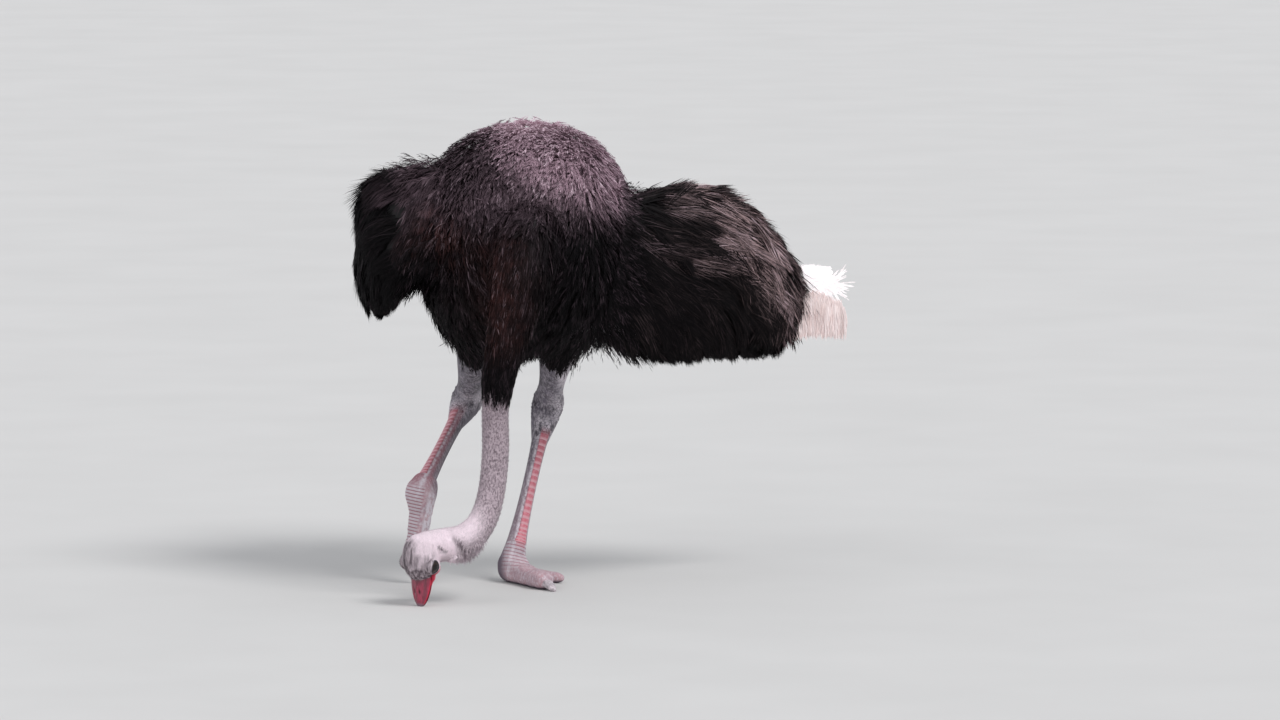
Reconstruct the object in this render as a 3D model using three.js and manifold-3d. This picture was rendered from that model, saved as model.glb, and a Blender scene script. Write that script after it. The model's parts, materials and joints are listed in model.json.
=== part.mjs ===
// A life-size male ostrich, feeding with its bill on the floor and its left wing held out.
// Millimetres. x runs to the bird's left, y towards its tail, z up, and the floor is z = 0.
// The whole bird is laid out round the point of the floor level with its bill, then centred at the end.

import * as THREE from 'three';
import { mergeVertices } from 'three/addons/utils/BufferGeometryUtils.js';
import Module from 'manifold-3d';

const wasm = await Module();
wasm.setup();

// ---------- driving sizes ----------

const GAP = 0.3; // between two pieces that touch

const BACK_HEIGHT = 1433; // floor to the top of the back's feathers
const TRUNK_LENGTH = 935; // breast to rump, over the feathers
const TRUNK_WIDTH = 685;
const TRUNK_DEPTH = 735;
const TRUNK_YAW = 6; // degrees, the breast towards the bird's right
const TRUNK_MIDDLE = [88, 542]; // x, y

const NECK_RADIUS = 42; // bare neck below the black feathers
const HEAD_LENGTH = 140; // nape to the root of the bill
const HEAD_WIDTH = 126; // across the eyes, over the down
const HEAD_DEPTH = 112;
const HEAD_TURN = 42; // degrees, how far the crown turns from the bird's right towards its front
const BILL_LENGTH = 103; // gape to tip
const BILL_WIDTH = 80;
const EYE_RADIUS = 23;

const TARSUS_RADIUS = 23;
const HOCK_RADIUS = 48;
const BIG_TOE_RADIUS = 32;
const BIG_TOE_LENGTH = 226; // ankle to the root of the claw
const SMALL_TOE_RADIUS = 21;
const CLAW_LENGTH = 46;

const TAIL_PLUMES = 7;
const TAIL_LENGTH = 350;
const PRIMARIES = 5; // white blades at the end of each wing

// ---------- joints of the pose: x, y, z ----------

const LEFT_LEG = {
  knee: [205, 360, 905],
  hock: [140, 712, 528],
  ankle: [35, 572, 72],
};
const RIGHT_LEG = {
  knee: [-52, 535, 850],
  hock: [-108, 935, 518],
  ankle: [-247, 530, 268],
};
const LEFT_FOOT = { origin: [35, 572, 0], forward: [0.47, -0.883, 0], up: [0, 0, 1], lateral: 1, splay: 45 };
const RIGHT_FOOT = { origin: [-206, 570, 266], forward: [-0.2, -0.08, -1], up: [-0.71, -0.71, 0], lateral: -1, splay: 8 };
const HEAD_MIDDLE = [-227, -9, 152];
const BILL_TIP = [-239, -13, 0];

// ---------- materials ----------

const paint = (color, roughness) => ({ color, roughness, metalness: 0 });
const BLACK_FEATHER = paint(0x16121a, 0.85);
const WHITE_FEATHER = paint(0xf2eeee, 0.8);
const TAIL_FEATHER = paint(0xd8cbb8, 0.85);
const NECK_DOWN = paint(0x9a8d92, 0.9);
const BARE_SKIN = paint(0x8d838a, 0.75);
const SCUTE_SKIN = paint(0xb98b90, 0.6);
const BILL_HORN = paint(0xc83c5a, 0.4);
const CLAW_HORN = paint(0x55505a, 0.45);
const EYE_BALL = paint(0x1c120e, 0.08);

// ---------- solids ----------

const vector = ([x, y, z]) => new THREE.Vector3(x, y, z);
const mix = (a, b, share) => a.map((value, i) => value + (b[i] - value) * share);
const radians = THREE.MathUtils.degToRad;

/** Manifold solid of a closed three.js geometry. */
function solidOf(geometry) {
  const bare = geometry.index ? geometry.clone() : geometry;
  bare.deleteAttribute('normal');
  bare.deleteAttribute('uv');
  const merged = mergeVertices(bare, 1e-4);
  return new wasm.Manifold(new wasm.Mesh({
    numProp: 3,
    vertProperties: new Float32Array(merged.attributes.position.array),
    triVerts: new Uint32Array(merged.index.array),
  }));
}

/** Buffer geometry of a manifold solid. */
function geometryOf(solid) {
  const mesh = solid.getMesh();
  const geometry = new THREE.BufferGeometry();
  geometry.setAttribute('position', new THREE.BufferAttribute(mesh.vertProperties, 3));
  geometry.setIndex(new THREE.BufferAttribute(mesh.triVerts, 1));
  return geometry;
}

/** The biggest body of a solid, with the slivers of its cuts taken out. */
function largest(solid) {
  const bodies = solid.decompose();
  const biggest = bodies.reduce((a, b) => (a.volume() > b.volume() ? a : b));
  return biggest.simplify(0.08);
}

const joined = (solids) => solids.reduce((whole, solid) => whole.add(solid));
const carved = (solid, ...others) => largest(others.reduce((left, other) => left.subtract(other), solid));

/** Closed body through rings of points, a fan closing each end. */
function loft(rings) {
  const sides = rings[0].length;
  const middle = (ring) => ring.reduce((sum, point) => sum.add(point), new THREE.Vector3()).divideScalar(sides);
  const points = [...rings.flat(), middle(rings[0]), middle(rings.at(-1))];
  const first = points.length - 2;
  const last = points.length - 1;
  const end = (rings.length - 1) * sides;
  const faces = [];
  for (let side = 0; side < sides; side++) {
    const next = (side + 1) % sides;
    faces.push(first, next, side);
    faces.push(last, end + side, end + next);
    for (let ring = 0; ring < rings.length - 1; ring++) {
      const a = ring * sides;
      const b = a + sides;
      faces.push(a + side, a + next, b + next);
      faces.push(a + side, b + next, b + side);
    }
  }
  const geometry = new THREE.BufferGeometry();
  geometry.setAttribute('position', new THREE.Float32BufferAttribute(points.flatMap((p) => p.toArray()), 3));
  geometry.setIndex(faces);
  return solidOf(geometry);
}

/**
 * A body swept through stations of [x, y, z, half width, half depth].
 * The width lies along `across`, the depth square to it and to the path.
 * `power` squares the section off, `pinch` narrows its far half, `fringe` lengthens chosen points,
 * `from` and `to` part the sweep, and `grow` makes it bigger all over for cutting its neighbours.
 */
function sweep(stations, { across, steps, sides, power = 2, farPower = power, pinch = 0, fringe, from = 0, to = 1, grow = 0 }) {
  const path = new THREE.CatmullRomCurve3(stations.map(vector));
  const sizes = new THREE.CatmullRomCurve3(stations.map(([, , , wide, deep]) => new THREE.Vector3(wide, deep, 0)));
  const rings = [];
  for (let step = 0; step <= steps; step++) {
    const along = from + (to - from) * (step / steps);
    const tangent = path.getTangent(along);
    const middle = path.getPoint(along);
    if (step === 0) middle.addScaledVector(tangent, -grow);
    if (step === steps) middle.addScaledVector(tangent, grow);
    const size = sizes.getPoint(along);
    const side = vector(across).addScaledVector(tangent, -vector(across).dot(tangent)).normalize();
    const up = new THREE.Vector3().crossVectors(tangent, side);
    rings.push(Array.from({ length: sides }, (_, index) => {
      const angle = (index / sides) * 2 * Math.PI;
      const [c, s] = [Math.cos(angle), Math.sin(angle)];
      const bend = s < 0 ? farPower : power;
      const extra = grow + (fringe ? fringe(along, angle, step, index) : 0);
      const wide = (Math.max(size.x, 1) + extra) * Math.sign(c) * Math.abs(c) ** (2 / bend) * (1 - pinch * Math.max(0, -s));
      const deep = (Math.max(size.y, 1) + extra) * Math.sign(s) * Math.abs(s) ** (2 / bend);
      return middle.clone().addScaledVector(side, wide).addScaledVector(up, deep);
    }));
  }
  return loft(rings);
}

/** Half-space above the floor, so that soles and tips are cut off flat on it. */
function aboveFloor() {
  const size = 4000;
  const box = new THREE.BoxGeometry(size, size, size);
  box.translate(0, 0, size / 2);
  return solidOf(box);
}

// ---------- trunk and tail ----------

/** Turns a point of the trunk's own frame (x left, y from breast to rump, z up) into the bird's. */
function fromTrunk([x, y, z, ...sizes]) {
  const turn = radians(-TRUNK_YAW);
  const back = y - TRUNK_LENGTH / 2;
  return [
    TRUNK_MIDDLE[0] + x * Math.cos(turn) - back * Math.sin(turn),
    TRUNK_MIDDLE[1] + x * Math.sin(turn) + back * Math.cos(turn),
    z,
    ...sizes,
  ];
}

/** Feathers of the belly end in ragged tips. */
function bellyFringe(along, angle, step, index) {
  const low = Math.max(0, -Math.sin(angle) - 0.5);
  return low * 26 * ((step + index) % 2 ? 1 : -1) * Math.sin(Math.PI * along);
}

function trunk(grow = 0) {
  const wide = TRUNK_WIDTH / 2;
  const deep = TRUNK_DEPTH / 2;
  const top = BACK_HEIGHT - deep;
  // share of the length, height of the middle below or above the widest part's, share of width and of depth
  const shape = [
    [0, -85, 0.09, 0.1],
    [0.05, -72, 0.42, 0.44],
    [0.17, -48, 0.76, 0.77],
    [0.33, -20, 0.96, 0.97],
    [0.52, 0, 1, 1],
    [0.71, 22, 0.87, 0.86],
    [0.87, 44, 0.6, 0.6],
    [0.96, 58, 0.36, 0.36],
    [1, 60, 0.08, 0.08],
  ];
  const stations = shape.map(([share, rise, width, depth]) => (
    fromTrunk([0, share * TRUNK_LENGTH, top + rise, width * wide, depth * deep])
  ));
  return sweep(stations, { across: [-1, 0, 0], steps: 18, sides: 22, power: 2.15, farPower: 3.2, fringe: bellyFringe, grow });
}

/** One soft plume: a flat blade, `wide` along `across`, that bends on its way from root to tip. */
function plume(root, bend, tip, wide, thick, across) {
  const stations = [
    [...root, wide * 0.3, thick * 0.6],
    [...mix(root, bend, 0.6), wide * 0.8, thick],
    [...mix(bend, tip, 0.15), wide, thick],
    [...mix(bend, tip, 0.7), wide * 0.85, thick * 0.8],
    [...tip, wide * 0.25, thick * 0.3],
  ];
  return sweep(stations, { across, steps: 4, sides: 4 });
}

/** Drooping plumes fanned over the rump, the middle ones longest. */
function tail() {
  const rump = TRUNK_LENGTH - 120;
  const plumes = Array.from({ length: TAIL_PLUMES }, (_, index) => {
    const spread = (index / (TAIL_PLUMES - 1)) * 2 - 1;
    const lift = 1 - spread * spread;
    const reach = TAIL_LENGTH * (0.86 + 0.14 * lift - 0.06 * (index % 2));
    const root = fromTrunk([spread * 75, rump, 1190 + lift * 26]);
    const bend = fromTrunk([spread * 150, rump + reach * 0.66, 1196 + lift * 44]);
    const tip = fromTrunk([spread * 205, rump + reach * 0.92, 1165 + lift * 40 - reach * 0.7]);
    return plume(root, bend, tip, 66, 27, [1, 0, 0]);
  });
  return carved(joined(plumes), trunk(GAP));
}

// ---------- wings ----------

/** Plume tips along the lower edge of a wing. */
const wingFringe = (length) => (along, angle, step) => {
  const low = Math.max(0, -Math.sin(angle) - 0.55) * 2;
  const high = Math.max(0, Math.sin(angle) - 0.75) * 2;
  const tooth = step % 2 ? 1 : -1;
  return (low * length + high * length * 0.5) * tooth;
};

function leftWing(grow = 0) {
  const stations = [
    [235, 350, 975, 40, 170],
    [330, 395, 965, 88, 240],
    [450, 455, 958, 105, 266],
    [585, 520, 950, 105, 272],
    [700, 592, 905, 95, 228],
    [790, 662, 855, 78, 182],
    [858, 718, 815, 58, 135],
    [896, 752, 790, 30, 80],
  ];
  return sweep(stations, { across: [0.6, -0.8, 0], steps: 20, sides: 14, power: 2.3, fringe: wingFringe(16), grow });
}

function rightWing(grow = 0) {
  const stations = [
    [-130, 340, 1130, 60, 150],
    [-225, 365, 1110, 85, 185],
    [-325, 425, 1070, 95, 205],
    [-372, 540, 1025, 84, 205],
    [-378, 680, 1000, 76, 178],
    [-365, 800, 985, 60, 130],
    [-350, 880, 975, 26, 62],
  ];
  return sweep(stations, { across: [-1, -0.3, 0], steps: 16, sides: 12, power: 2.2, fringe: wingFringe(12), grow });
}

/** White flight feathers in a drooping fan from the hand of a wing, their barbs hanging from each shaft. */
function primaries(hand, out, length, wing) {
  const blades = Array.from({ length: PRIMARIES }, (_, index) => {
    const share = index / (PRIMARIES - 1);
    const reach = length * (1 - 0.3 * share);
    const along = (part, rise) => [hand[0] + out[0] * reach * part, hand[1] + out[1] * reach * part, hand[2] + rise];
    const aside = (share - 0.5) * 36;
    const root = [hand[0] - out[1] * aside, hand[1] + out[0] * aside, hand[2] + 58 - 105 * share];
    return plume(root, along(0.55, 82 - 130 * share), along(1, 34 - 150 * share), 36, 8, [0, 0, 1]);
  });
  return carved(joined(blades), wing);
}

// ---------- neck ----------

const NECK_PATH = [
  [86, 250, 1080, 150, 145],
  [80, 150, 1070, 140, 132],
  [72, 62, 985, 108, 98],
  [42, 28, 840, 74, 68],
  [6, 38, 700, 55, 51],
  [-8, 62, 575, 42, 42],
  [-8, 84, 455, NECK_RADIUS, NECK_RADIUS],
  [-20, 98, 330, NECK_RADIUS, NECK_RADIUS + 1],
  [-48, 88, 240, NECK_RADIUS + 2, NECK_RADIUS + 5],
  [-98, 58, 190, NECK_RADIUS + 5, NECK_RADIUS + 8],
  [-160, 24, 178, NECK_RADIUS + 9, NECK_RADIUS + 8],
  [-212, 0, 172, NECK_RADIUS + 10, NECK_RADIUS + 7],
];
const NECK_CUTS = { base: [0, 0.455], lower: [0.456, 0.635], middle: [0.636, 0.8], upper: [0.801, 1] };

function neckLength(name, steps, sides) {
  const [from, to] = NECK_CUTS[name];
  return sweep(NECK_PATH, { across: [-1, 0.3, 0], steps, sides, from, to });
}

// ---------- head ----------

/** Places a solid made in the head's frame: x towards the bill, y to its left, z to its crown. */
function placeHead(solid) {
  const forward = vector(BILL_TIP).sub(vector(HEAD_MIDDLE)).normalize();
  const turn = radians(HEAD_TURN);
  const crown = new THREE.Vector3(-Math.cos(turn), -Math.sin(turn), 0);
  crown.addScaledVector(forward, -crown.dot(forward)).normalize();
  const left = new THREE.Vector3().crossVectors(crown, forward);
  const matrix = new THREE.Matrix4().makeBasis(forward, left, crown).setPosition(vector(HEAD_MIDDLE));
  return solid.transform(matrix.elements);
}

const EYE_PLACE = [26, 49, -1]; // in the head's frame

function skull(grow = 0) {
  const wide = HEAD_WIDTH / 2;
  const deep = HEAD_DEPTH / 2;
  // share of the length, rise of the middle, share of width and of depth
  const shape = [
    [0, 4, 0.2, 0.25],
    [0.06, 4, 0.54, 0.6],
    [0.2, 3, 0.8, 0.88],
    [0.4, 2, 0.95, 1],
    [0.58, 0, 1, 0.99],
    [0.74, -3, 0.95, 0.88],
    [0.88, -8, 0.76, 0.66],
    [1, -13, 0.52, 0.4],
  ];
  const stations = shape.map(([share, rise, width, depth]) => (
    [share * HEAD_LENGTH - 62, 0, rise, width * wide, depth * deep]
  ));
  return placeHead(sweep(stations, { across: [0, -1, 0], steps: 11, sides: 14, power: 2.2, farPower: 2, pinch: 0.18, grow }));
}

/** Upper or lower half of the bill, wide and flat, with a rounded tip. */
function bill(side, grow = 0) {
  const length = vector(BILL_TIP).distanceTo(vector(HEAD_MIDDLE));
  const root = length - BILL_LENGTH;
  const wide = BILL_WIDTH / 2;
  const thick = side > 0 ? 17 : 12;
  const line = -14; // height of the mouth
  const shape = [
    [0, 0.96, 0.9],
    [0.2, 1, 1],
    [0.4, 0.96, 0.96],
    [0.65, 0.84, 0.78],
    [0.85, 0.62, 0.54],
    [0.97, 0.36, 0.36],
    [1.01, 0.14, 0.2],
  ];
  const stations = shape.map(([share, width, depth]) => (
    [root + share * BILL_LENGTH, 0, line + side * (thick * depth * 0.5 + 1), width * wide, thick * depth * 0.75]
  ));
  return placeHead(sweep(stations, { across: [0, -side, 0], steps: 7, sides: 10, power: 2.2, farPower: 5, grow }));
}

function eyeBall(side, grow = 0) {
  const ball = new THREE.SphereGeometry(EYE_RADIUS + grow, 10, 7);
  ball.translate(EYE_PLACE[0], side * EYE_PLACE[1], EYE_PLACE[2]);
  return placeHead(solidOf(ball));
}

// ---------- legs ----------

function thigh(leg, grow = 0) {
  const { knee, hock } = leg;
  const stations = [
    [...mix(knee, hock, -0.16), 60, 80],
    [...knee, 88, 128],
    [...mix(knee, hock, 0.28), 82, 122],
    [...mix(knee, hock, 0.55), 60, 84],
    [...mix(knee, hock, 0.78), 41, 50],
    [...mix(knee, hock, 0.87), 39, 44],
  ];
  return sweep(stations, { across: [1, 0, 0], steps: 8, sides: 12, grow });
}

/** The hock's two ends, each rounded off past the middle of the joint, joined into one knuckle. */
function hock(leg, grow = 0) {
  const { knee, hock: joint, ankle } = leg;
  const middle = [joint[0], joint[1] + 14, joint[2]];
  const half = (end, wide, deep) => sweep([
    [...end, wide, deep],
    [...mix(end, middle, 0.5), HOCK_RADIUS - 8, HOCK_RADIUS - 4],
    [...middle, HOCK_RADIUS, HOCK_RADIUS + 4],
    [...mix(end, middle, 1.3), HOCK_RADIUS - 10, HOCK_RADIUS - 8],
    [...mix(end, middle, 1.45), 12, 12],
  ], { across: [1, 0, 0], steps: 6, sides: 10, grow });
  const upper = half(mix(joint, knee, 0.16), 38, 42);
  const lower = half(mix(joint, ankle, 0.2), TARSUS_RADIUS + 5, TARSUS_RADIUS + 10);
  return largest(upper.add(lower));
}

function tarsus(leg, across, grow = 0) {
  const { hock: joint, ankle } = leg;
  const stations = [
    [...mix(joint, ankle, 0.17), TARSUS_RADIUS + 6, TARSUS_RADIUS + 11],
    [...mix(joint, ankle, 0.3), TARSUS_RADIUS, TARSUS_RADIUS + 7],
    [...mix(joint, ankle, 0.6), TARSUS_RADIUS - 1, TARSUS_RADIUS + 6],
    [...mix(joint, ankle, 0.85), TARSUS_RADIUS + 6, TARSUS_RADIUS + 9],
    [...ankle, TARSUS_RADIUS + 17, TARSUS_RADIUS + 16],
  ];
  return sweep(stations, { across, steps: 7, sides: 10, grow });
}

/** Places a solid made in a foot's frame: x towards the claw, y to the bird's left, z off the sole. */
function placeFoot(solid, { origin, forward, up }) {
  const ahead = vector(forward).normalize();
  const over = vector(up).addScaledVector(ahead, -vector(up).dot(ahead)).normalize();
  const left = new THREE.Vector3().crossVectors(over, ahead);
  return solid.transform(new THREE.Matrix4().makeBasis(ahead, left, over).setPosition(vector(origin)).elements);
}

const SOLE = { across: [0, -1, 0], power: 2.2, farPower: 3 };

/** Ball of the foot, with the pad under the heel. */
function footPad(foot, grow = 0) {
  const stations = [
    [-58, 0, 36, 12, 14],
    [-48, 0, 38, 27, 32],
    [-24, 0, 41, 37, 43],
    [2, 0, 46, 40, 50],
    [30, 0, 40, 36, 42],
    [48, 0, 35, 33, 36],
  ];
  return placeFoot(sweep(stations, { ...SOLE, steps: 7, sides: 10, grow }), foot);
}

function bigToe(foot, grow = 0) {
  const r = BIG_TOE_RADIUS;
  const stations = [
    [36, 0, r + 3, r, r + 4],
    [BIG_TOE_LENGTH * 0.36, 0, r - 1, r, r],
    [BIG_TOE_LENGTH * 0.56, 0, r - 5, r - 2, r - 4],
    [BIG_TOE_LENGTH * 0.75, 0, r - 5, r, r - 4],
    [BIG_TOE_LENGTH * 0.9, 0, r - 7, r - 2, r - 6],
    [BIG_TOE_LENGTH * 0.98, 0, r - 11, r - 12, r - 14],
    [BIG_TOE_LENGTH, 0, r - 12, 8, 7],
  ];
  return placeFoot(sweep(stations, { ...SOLE, steps: 9, sides: 10, grow }), foot);
}

/** Outer toe, which leaves the ball of the foot at the foot's own splay. */
function smallToe(foot, grow = 0) {
  const r = SMALL_TOE_RADIUS;
  const turn = radians(foot.splay);
  const place = (out, rise, wide, deep) => (
    [-4 + out * Math.cos(turn), foot.lateral * (20 + out * Math.sin(turn)), rise, wide, deep]
  );
  const stations = [
    place(0, r + 6, r, r + 5),
    place(46, r + 1, r, r + 1),
    place(90, r - 3, r - 2, r - 3),
    place(124, r - 5, r - 4, r - 5),
    place(144, r - 7, r - 13, r - 13),
  ];
  const across = [Math.sin(turn), -Math.cos(turn) * foot.lateral, 0];
  return placeFoot(sweep(stations, { ...SOLE, across, steps: 7, sides: 8, grow }), foot);
}

/** Blunt nail of the big toe. */
function claw(foot, grow = 0) {
  const root = BIG_TOE_LENGTH - 18;
  const stations = [
    [root, 0, 23, 15, 12],
    [root + CLAW_LENGTH * 0.45, 0, 19, 15, 12],
    [root + CLAW_LENGTH, 0, 11, 12, 9],
    [root + CLAW_LENGTH * 1.35, 0, 4, 6, 5],
    [root + CLAW_LENGTH * 1.42, 0, 2, 3, 3],
  ];
  return placeFoot(sweep(stations, { across: [0, -1, 0], steps: 5, sides: 8, grow }), foot);
}

// ---------- the bird ----------

const bird = new THREE.Group();

function add(name, solid, material) {
  const mesh = new THREE.Mesh(geometryOf(solid), new THREE.MeshStandardMaterial(material));
  mesh.name = name;
  bird.add(mesh);
}

const floorSide = aboveFloor();

add('trunk', trunk(), BLACK_FEATHER);
add('tail', tail(), TAIL_FEATHER);
add('wing_left', carved(leftWing(), trunk(GAP)), BLACK_FEATHER);
add('wing_right', carved(rightWing(), trunk(GAP)), BLACK_FEATHER);
add('primaries_left', primaries([850, 712, 850], [0.94, 0.34], 235, leftWing(GAP)), WHITE_FEATHER);
add('primaries_right', primaries([-355, 830, 990], [0.08, 1], 230, rightWing(GAP)), WHITE_FEATHER);
add('neck_base', carved(neckLength('base', 9, 16), trunk(GAP)), BLACK_FEATHER);
add('neck_lower', neckLength('lower', 6, 14), NECK_DOWN);
add('neck_middle', neckLength('middle', 7, 14), NECK_DOWN);
add('neck_upper', carved(neckLength('upper', 6, 14), skull(GAP)), NECK_DOWN);
add('head', carved(skull(), eyeBall(1, GAP), eyeBall(-1, GAP), bill(1, GAP), bill(-1, GAP)), NECK_DOWN);
add('bill_upper', carved(bill(1).intersect(floorSide), bill(-1, GAP)), BILL_HORN);
add('bill_lower', largest(bill(-1).intersect(floorSide)), BILL_HORN);
add('eye_left', eyeBall(1), EYE_BALL);
add('eye_right', eyeBall(-1), EYE_BALL);

for (const [name, leg, foot] of [['left', LEFT_LEG, LEFT_FOOT], ['right', RIGHT_LEG, RIGHT_FOOT]]) {
  const onFloor = (solid) => solid.intersect(floorSide);
  add(`thigh_${name}`, carved(thigh(leg), trunk(GAP), hock(leg, GAP)), BARE_SKIN);
  add(`hock_${name}`, hock(leg), BARE_SKIN);
  add(`tarsus_${name}`, carved(tarsus(leg, [1, 0, 0]), hock(leg, GAP), footPad(foot, GAP), smallToe(foot, GAP)), SCUTE_SKIN);
  add(`foot_${name}`, largest(onFloor(footPad(foot))), SCUTE_SKIN);
  add(`toe_big_${name}`, carved(onFloor(bigToe(foot)), footPad(foot, GAP), claw(foot, GAP)), SCUTE_SKIN);
  add(`toe_outer_${name}`, carved(onFloor(smallToe(foot)), footPad(foot, GAP), bigToe(foot, GAP)), SCUTE_SKIN);
  add(`claw_${name}`, largest(onFloor(claw(foot))), CLAW_HORN);
}

const box = new THREE.Box3().setFromObject(bird);
const middle = box.getCenter(new THREE.Vector3());
bird.position.set(-middle.x, -middle.y, 0);

export default bird;
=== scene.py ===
"""Dresses a life-size male ostrich: one skin, its plumage, down, scutes, bill, eyes and claws.

The layout is in millimetres, with x to the bird's left, y towards its tail and z up from the floor.
"""

import json
import math

import bmesh
import bpy
import numpy as np
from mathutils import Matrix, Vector
from mathutils.bvhtree import BVHTree
from mathutils.kdtree import KDTree


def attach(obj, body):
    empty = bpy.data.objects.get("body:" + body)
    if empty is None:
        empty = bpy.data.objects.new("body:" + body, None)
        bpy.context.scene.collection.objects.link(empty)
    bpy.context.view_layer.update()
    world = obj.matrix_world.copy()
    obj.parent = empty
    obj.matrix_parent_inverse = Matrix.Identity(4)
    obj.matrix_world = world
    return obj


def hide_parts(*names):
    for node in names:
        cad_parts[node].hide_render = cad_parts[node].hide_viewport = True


bl_info = {
    "name": "Ostrich",
    "version": (1, 0, 0),
    "blender": (4, 5, 0),
    "location": "3D View > Sidebar > Ostrich",
    "description": "Skin, plumage, bill, eyes and scutes of a life-size ostrich",
    "category": "Object",
}

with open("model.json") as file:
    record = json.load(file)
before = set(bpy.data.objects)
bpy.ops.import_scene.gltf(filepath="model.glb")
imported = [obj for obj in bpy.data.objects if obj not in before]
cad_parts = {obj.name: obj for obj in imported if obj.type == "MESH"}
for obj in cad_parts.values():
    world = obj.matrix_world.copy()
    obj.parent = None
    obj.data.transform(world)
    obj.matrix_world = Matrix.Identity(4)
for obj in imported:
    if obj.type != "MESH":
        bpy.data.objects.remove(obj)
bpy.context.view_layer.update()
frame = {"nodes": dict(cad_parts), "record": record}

# ---------- layout of the bird ----------

LEFT_SOLE = (35, 572, 0)
TRUNK_YAW = 6  # degrees, the breast towards the bird's right
TRUNK_MIDDLE = (88, 542)
TRUNK_LENGTH = 935
TRUNK_WIDTH = 685
TRUNK_DEPTH = 735
BACK_HEIGHT = 1433
# share of the length, rise of the middle, share of the width and of the depth
TRUNK_SHAPE = (
    (0, -85, 0.09, 0.1),
    (0.05, -72, 0.42, 0.44),
    (0.17, -48, 0.76, 0.77),
    (0.33, -20, 0.96, 0.97),
    (0.52, 0, 1, 1),
    (0.71, 22, 0.87, 0.86),
    (0.87, 44, 0.6, 0.6),
    (0.96, 58, 0.36, 0.36),
    (1, 60, 0.08, 0.08),
)
# x, y, z, half width, half depth of the bare arm inside each wing
LEFT_ARM = (
    (235, 350, 978, 36, 150),
    (330, 395, 970, 64, 208),
    (450, 455, 966, 74, 222),
    (585, 520, 958, 72, 224),
    (700, 592, 912, 62, 182),
    (790, 662, 864, 48, 136),
    (850, 712, 826, 26, 80),
)
RIGHT_ARM = (
    (-130, 340, 1132, 40, 122),
    (-225, 365, 1114, 62, 154),
    (-318, 425, 1074, 68, 168),
    (-364, 540, 1028, 60, 166),
    (-369, 680, 1003, 52, 140),
    (-358, 800, 987, 36, 96),
    (-350, 860, 977, 16, 44),
)
# x, y, z, half width, half depth of the skinned neck
NECK = (
    (86, 250, 1080, 100, 100),
    (80, 150, 1070, 92, 90),
    (72, 62, 985, 72, 68),
    (42, 28, 840, 50, 47),
    (6, 38, 700, 42, 41),
    (-8, 62, 575, 39, 39),
    (-8, 84, 455, 39, 39),
    (-20, 98, 330, 39, 40),
    (-48, 88, 240, 41, 44),
    (-98, 58, 190, 45, 48),
    (-160, 24, 178, 49, 48),
    (-212, 0, 172, 49, 47),
    (-236, -13, 163, 38, 36),
)
HEAD_MIDDLE = (-227, -9, 152)
BILL_TIP = (-239, -13, 0)
HEAD_TURN = 42  # degrees, the crown from the bird's right towards its front
HEAD_WIDTH = 120
HEAD_DEPTH = 106
MOUTH_LINE = -14  # height of the mouth in the head's frame
EYE_PLACE = (26, 49, -1)  # x to the bill, y to the side, z to the crown
EYE_RADIUS = 23
EYE_AXIS = (0.12, 1, -0.05)  # the way the left eye looks, in the head's frame
EYE_OPENING = (52, 31, 27)  # degrees from the middle to the corners, the upper and the lower lid
# x to the bill, half width, height of the upper half, depth of the lower half, along the bill
BILL_SHAPE = (
    (38, 36, 19, 12), (48, 39, 22, 14), (60, 40, 23, 15), (75, 40, 22.5, 15), (90, 38.5, 21, 14),
    (105, 35.5, 18.5, 12.5), (118, 31.5, 16, 11), (130, 26.5, 13, 9), (140, 20.5, 10, 7),
    (147, 14.5, 7.5, 5.5), (151.5, 8, 5, 4), (153.4, 3, 2.5, 2),
)
LEGS = {
    "left": {"knee": (205, 360, 905), "hock": (140, 712, 528), "ankle": (35, 572, 72)},
    "right": {"knee": (-52, 535, 850), "hock": (-108, 935, 518), "ankle": (-247, 530, 268)},
}
FEET = {
    "left": {
        "origin": (35, 572, 0), "forward": (0.47, -0.883, 0), "up": (0, 0, 1), "lateral": 1, "splay": 45,
    },
    "right": {
        "origin": (-206, 570, 266), "forward": (-0.2, -0.08, -1), "up": (-0.71, -0.71, 0),
        "lateral": -1, "splay": 8,
    },
}
# which way the scutes of each shank face
SHANK_FRONT = {"left": (0.47, -0.88, 0), "right": (-0.45, -0.4, 0.8)}
TARSUS_RADIUS = 23
HOCK_RADIUS = 48
BIG_TOE_RADIUS = 32
BIG_TOE_LENGTH = 226
SMALL_TOE_RADIUS = 21
CLAW_LENGTH = 46
GRAVITY = np.array((0.0, 0.0, -1.0))

sole = next(mount for mount in frame["record"]["mounts"] if mount["name"] == "left_sole")
OFFSET = np.array(sole["pos_m"]) * 1000 - np.array(LEFT_SOLE)


def srgb(red, green, blue):
    """Linear colour of three screen levels from 0 to 255."""
    levels = np.array((red, green, blue)) / 255
    return tuple(np.where(levels > 0.04045, ((levels + 0.055) / 1.055) ** 2.4, levels / 12.92))


def dimmed(colour, share):
    """A share of a linear colour."""
    return tuple(share * level for level in colour)


# ---------- sizes and colours that a user would change ----------


class OstrichSizes(bpy.types.PropertyGroup):
    coat_depth: bpy.props.FloatProperty(
        name="Coat depth", description="From the skin of the trunk to the tips of its feathers",
        default=0.058, min=0.02, max=0.12, unit="LENGTH",
    )
    barb_width: bpy.props.FloatProperty(
        name="Barb width", description="Width of one barb of a body feather at its root",
        default=0.0024, min=0.0005, max=0.01, unit="LENGTH",
    )
    density: bpy.props.FloatProperty(
        name="Feather density", description="Share of the full number of feathers",
        default=1.0, min=0.05, max=1.0, subtype="FACTOR",
    )
    seed: bpy.props.IntProperty(
        name="Seed", description="Starts the scatter of the feathers", default=7, min=0,
    )


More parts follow.
